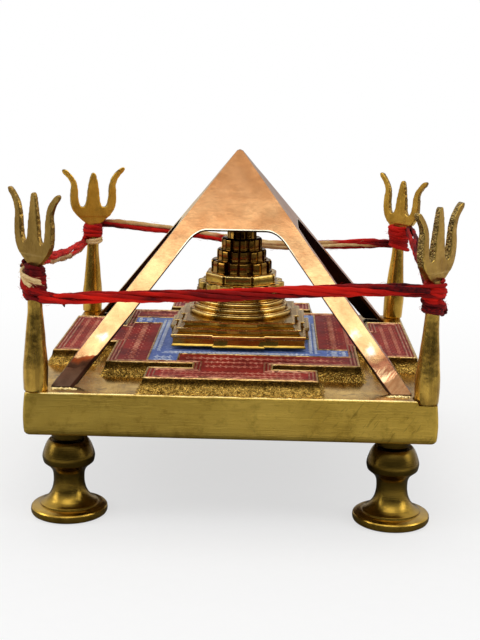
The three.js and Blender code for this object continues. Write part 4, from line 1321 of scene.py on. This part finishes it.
def thread_piece(name, parts, values):
    """values: (dye, shade) for each part, numbers or one value per vertex"""
    dye, shade = [np.concatenate([np.broadcast_to(np.asarray(value[k], float), (len(part[0]),))
                                  for part, value in zip(parts, values)]) for k in (0, 1)]
    piece(f"{name}_yarns", merge(parts), ("thread",), sharp=70, replaces=(name,),
          attributes={"dye": dye, "shade": shade})


# Yarns of each span: how often the bundle twists along it, then for each yarn its angle round the bundle
# in degrees (0 on top) and the stretches of it that are cream, as shares of its length
SPAN_YARNS = {
    "front": (1.5, [(0, []), (50, []), (100, []), (150, []), (200, []), (255, []), (310, [])]),
    "right": (0.8, [(0, []), (60, []), (120, []), (180, []), (240, []), (300, [])]),
    "rear": (0.12, [(20, [(0.3, 1.0)]), (335, [(0.26, 1.0)]), (285, [(0.2, 0.53), (0.6, 1.0)]),
                    (235, [(0.06, 0.5)]), (185, [(0.25, 0.5)]), (130, []), (75, [(0.3, 0.5)])]),
    "left": (-0.1, [(0, []), (50, []), (110, [(0.5, 1.0)]), (165, [(0.0, 1.0)]), (215, [(0.0, 1.0)]),
                    (262, [(0.35, 0.7)]), (320, [])]),
}
# Tone of each span's red and how it falls along it: painted light and shade, the right span darker, the front
# one darker towards its right end
SPAN_TONES = {"front": 0.72, "right": 0.34, "rear": 0.55, "left": 0.8}
SPAN_FALL = {"front": 0.45, "right": 0.0, "rear": 0.0, "left": 0.0}
SPAN_LUMPS = {"front": 0.3, "right": 0.4, "rear": 0.25, "left": 0.75}


def make_spans():
    for turn, (name, begin, stop, dip) in enumerate(SPANS):
        rng = random.Random(20 + turn)
        c, s = QUARTER_TURNS[turn]
        along = np.array([c, s, 0.0])
        start = wrap_end(begin, 0) - along * 2.6
        end = wrap_end(stop, -1) + along * 2.6
        first, last = start + along * 6.0, end - along * 6.0
        middle = [first + (last - first) * (i + 1) / 6 - np.array([0, 0, d]) for i, d in enumerate(dip)]
        path, run = smooth_path([start, first] + middle + [last, end], 0.3)
        _, normal, side = frames(path)
        share = run / run[-1]
        parts, values = [], []
        turns, yarns = SPAN_YARNS[name]
        for k, (degrees, cream) in enumerate(yarns):
            phase = math.radians(degrees)
            swell = np.array([noise_at(x / 11.0, k * 3.3, turn * 5.1) for x in run])
            drift = np.array([noise_at(x / 17.0, k * 7.7 + 40, turn * 2.3) for x in run])
            angle = phase + 2 * math.pi * turns * share + 0.9 * drift
            narrow = np.clip(np.minimum(run, run[-1] - run) / 6.0, 0.75, 1)
            radius = (1.0 + SPAN_LUMPS[name] * swell) * narrow
            yarn = path + off_axis(radius, angle, normal, side)
            tube = yarn_tube(yarn, rng.uniform(0.44, 0.58), 7.5, rng.uniform(0, 6))
            offset = rng.uniform(-0.02, 0.02)
            dye = [dye_at(cream, t, offset) for t in share for _ in range(YARN_SIDES)]
            # Each yarn's tone: random, with painted light on the top yarns and painted shade near both
            # windings
            tone = SPAN_TONES[name] + 0.2 * math.cos(phase) + rng.uniform(-0.35, 0.35)
            fall = SPAN_FALL[name] * share + 0.6 * np.clip(1 - np.minimum(run, run[-1] - run) / 14, 0, 1)
            shade = [min(1, max(0, tone - less + 0.55 * noise_at(x / 6, k, turn)))
                     for x, less in zip(run, fall) for _ in range(YARN_SIDES)]
            parts.append(tube)
            values.append((dye, shade))
        pale = any(cream for _, cream in yarns)
        for hair in fibres(path, 1.35, 90, rng, (0.8, 2.2)):
            parts.append(hair)
            values.append((1.0 if pale and rng.random() < 0.5 else 0.0, rng.uniform(0.5, 1.0)))
        thread_piece(f"thread_span_{name}", parts, values)


# Strands of each winding: start angle and sweep in degrees, height at both ends as a share of the winding's
# own height, radius, thickness, whether it is cream, and its tone from dark (0) to bright (1), which holds
# painted light and shade
WRAP_STRANDS = [
    [(-90, -1170, 0.0, 0.72, 2.2, 0.6, 0, 0.15), (-60, -1100, 0.1, 0.75, 2.3, 0.55, 0, 0.35),
     (-120, -1000, -0.06, 0.5, 2.3, 0.6, 0, 0.1), (0, -1060, 0.62, 0.98, 2.05, 0.5, 0, 0.0),
     (40, -980, 0.72, 1.03, 1.95, 0.5, 0, 0.12), (-226, 122, 0.86, 0.24, 2.85, 0.55, 0, 0.45),
     (-230, 130, 0.72, 0.1, 2.8, 0.55, 0, 0.3), (-220, 128, 1.0, 0.4, 3.0, 0.42, 1, 1.0),
     (-214, 128, 0.92, 0.3, 2.85, 0.38, 1, 0.8), (-216, 172, 0.98, 0.54, 3.05, 0.42, 1, 0.95),
     (-150, 108, 0.68, 0.46, 2.9, 0.38, 1, 0.85), (-160, 110, 0.08, -0.1, 2.65, 0.5, 0, 0.5)],
    [(0, -1170, 0.0, 1.0, 2.15, 0.55, 0, 0.1), (30, -1100, 0.4, 1.12, 2.45, 0.55, 0, 0.6),
     (-40, -1000, 0.55, 1.22, 2.4, 0.5, 0, 0.85), (-20, -760, 0.92, 1.36, 2.15, 0.45, 0, 0.3),
     (-10, -1000, 0.02, 0.5, 2.1, 0.6, 0, 0.0), (-205, 200, 0.46, 0.34, 2.5, 0.6, 0, 0.05),
     (-195, 180, 0.24, 0.16, 2.35, 0.6, 0, 0.0), (-75, 95, 0.55, 0.28, 2.6, 0.5, 0, 0.45),
     (-60, 80, 0.34, 0.1, 2.5, 0.46, 0, 0.25), (-200, 160, 1.0, 0.78, 2.85, 0.5, 0, 0.75)],
    [(90, -1170, 0.0, 1.0, 2.3, 0.6, 0, 0.4), (120, -1100, -0.1, 0.6, 2.3, 0.58, 0, 0.3),
     (60, -1000, 0.5, 1.05, 2.9, 0.6, 0, 0.8), (100, -1080, 0.2, 0.8, 2.5, 0.6, 0, 0.25),
     (20, -1000, 0.36, 0.92, 2.7, 0.58, 0, 0.5), (-190, 230, 1.05, 0.75, 3.3, 0.56, 0, 0.75),
     (-200, 240, 0.8, 0.5, 3.3, 0.54, 0, 0.5), (-190, 210, 0.16, -0.16, 2.8, 0.56, 0, 0.65),
     (30, -160, 1.05, 0.6, 3.4, 0.55, 0, 0.5)],
    [(180, -1170, 0.3, 1.0, 2.3, 0.58, 0, 0.5), (200, -1000, 0.38, 0.98, 2.5, 0.52, 0, 0.3),
     (150, -800, 0.3, 0.75, 2.45, 0.55, 0, 0.7), (170, -420, 0.34, 0.08, 2.6, 0.46, 1, 0.9),
     (150, -420, 0.2, -0.04, 2.65, 0.46, 1, 0.7), (160, -420, 0.05, 0.25, 2.3, 0.45, 0, 0.3)],
]


# Loose strands beside a winding: which winding, 1 where heights count from its high end and 0 from its low
# one, tone, thickness, and points in the trident's own frame
SIDE_STRANDS = [
    (0, 0, 0.3, 0.46, [(-2.2, -1.9, 3.0), (0, -3.0, 2.2), (3, -3.0, 1.4), (7, -2.8, 0.8), (11, -2.7, 0.5)]),
    (0, 0, 0.12, 0.48, [(-2.4, -1.7, 2.0), (0, -3.05, 1.4), (3, -3.1, 0.9), (7, -3.0, 0.4), (11, -2.7, 0.1)]),
    (0, 0, 0.45, 0.34, [(-1.6, -2.3, 2.5), (0.4, -3.2, 1.9), (3, -3.3, 1.1), (6, -3.1, 0.7), (9, -2.9, 0.5)]),
    (0, 0, 0.1, 0.45, [(-2.0, -2.2, 0.6), (0.5, -3.1, -0.1), (4, -3.1, -0.5), (8, -2.9, -0.6)]),
    (1, 1, 0.4, 0.46,
     [(-11, -2.7, 0.2), (-6, -2.9, 0.5), (-2, -2.9, 0.9), (1.5, -2.5, 1.2), (2.5, -1.0, 1.3)]),
    (1, 1, 0.55, 0.44,
     [(-11, -2.8, -0.7), (-6, -3.0, -0.6), (-2, -3.0, -0.4), (1.5, -2.7, -0.2), (2.7, -1.0, 0)]),
    (1, 1, 0.15, 0.46, [(-10, -2.9, -1.2), (-6, -3.1, -1.3), (-2, -3.0, -1.3), (1.2, -2.7, -1.1)]),
    (0, 0, 0.0, 0.36, [(2.6, -1.6, 0.4), (5.0, -2.3, 0.1), (6.9, -2.6, -0.6), (7.5, -2.6, -1.9)]),
]


def make_wraps():
    for index, (name, _, _) in enumerate(CORNERS):
        rng = random.Random(50 + index)
        first, low, high = wrap_points(index)
        matrix = lean_matrix(index)
        parts, values = [], []
        for k, (begin, sweep, share0, share1, radius, thick, cream, tone) in enumerate(WRAP_STRANDS[index]):
            points = []
            steps = max(8, int(abs(sweep) / 14))
            for i in range(steps + 1):
                t = i / steps
                a = math.radians(begin + sweep * t)
                sway = noise_at(t * abs(sweep) / 90, k * 4.1, index * 3.7)
                lift = noise_at(t * abs(sweep) / 110, k * 9.1, index * 5.3)
                dive = max(0.0, 1 - 9 * t, 1 - 9 * (1 - t)) * (radius - 2.0) if k else 0.0
                r = radius + 0.3 * sway - dive
                z = low + (high - low) * (share0 + (share1 - share0) * t) + 0.45 * lift
                points.append(np.array([r * math.cos(a), r * math.sin(a), z]))
            if k == 0:
                tail = np.array([-math.sin(first) * WRAP_REACH, math.cos(first) * WRAP_REACH, 0])
                end = math.radians(begin + sweep)
                lead = np.array([math.sin(end) * WRAP_REACH, -math.cos(end) * WRAP_REACH, 0])
                points.insert(0, points[0] + tail)
                points.append(points[-1] + lead)
            path, _ = smooth_path(points, 0.3)
            path = np.array([matrix @ Vector(p) for p in path])
            parts.append(yarn_tube(path, thick, 6.0, rng.uniform(0, 6)))
            values.append((float(cream), min(1.0, max(0.0, tone + rng.uniform(-0.08, 0.08)))))
            for hair in fibres(path, thick, 12 + len(path) // 14, rng, (0.6, 1.6)):
                parts.append(hair)
                values.append((float(cream), rng.uniform(0.5, 1.0)))
        for owner, top_end, tone, thick, points in SIDE_STRANDS:
            if owner != index:
                continue
            level = high if top_end else low
            path, _ = smooth_path([np.array((px, py, pz + level)) for px, py, pz in points], 0.25)
            path = np.array([matrix @ Vector(p) for p in path])
            parts.append(yarn_tube(path, thick, 5.0, rng.uniform(0, 6)))
            values.append((0.0, tone))
        thread_piece(f"thread_wrap_{name}", parts, values)


def dress_hidden_nodes():
    for name, obj in NODES.items():
        if name.startswith("foot_stud") or name == "meru_screw":
            obj.data.materials.clear()
            obj.data.materials.append(MAT["steel"])


make_camera()
make_world()
make_lamp("key", (-0.06, -0.36, 0.6), (0.5, 0.24), 0.62)
make_lamp("left", (-0.7, -0.1, 0.4), (0.3, 0.5), 1.3)
make_lamp("right", (0.72, -0.2, 0.45), (0.3, 0.5), 1.3)
make_lamp("top", (0.0, 0.25, 0.8), (0.5, 0.4), 1.2)
make_floor()
make_plate()
make_bosses()
make_relief()
make_enamel()
make_ornament()
make_burrs()
make_feet()
make_trishuls()
make_meru()
make_pyramid()
make_spans()
make_wraps()
dress_hidden_nodes()

bpy.context.scene.view_settings.view_transform = "Standard"
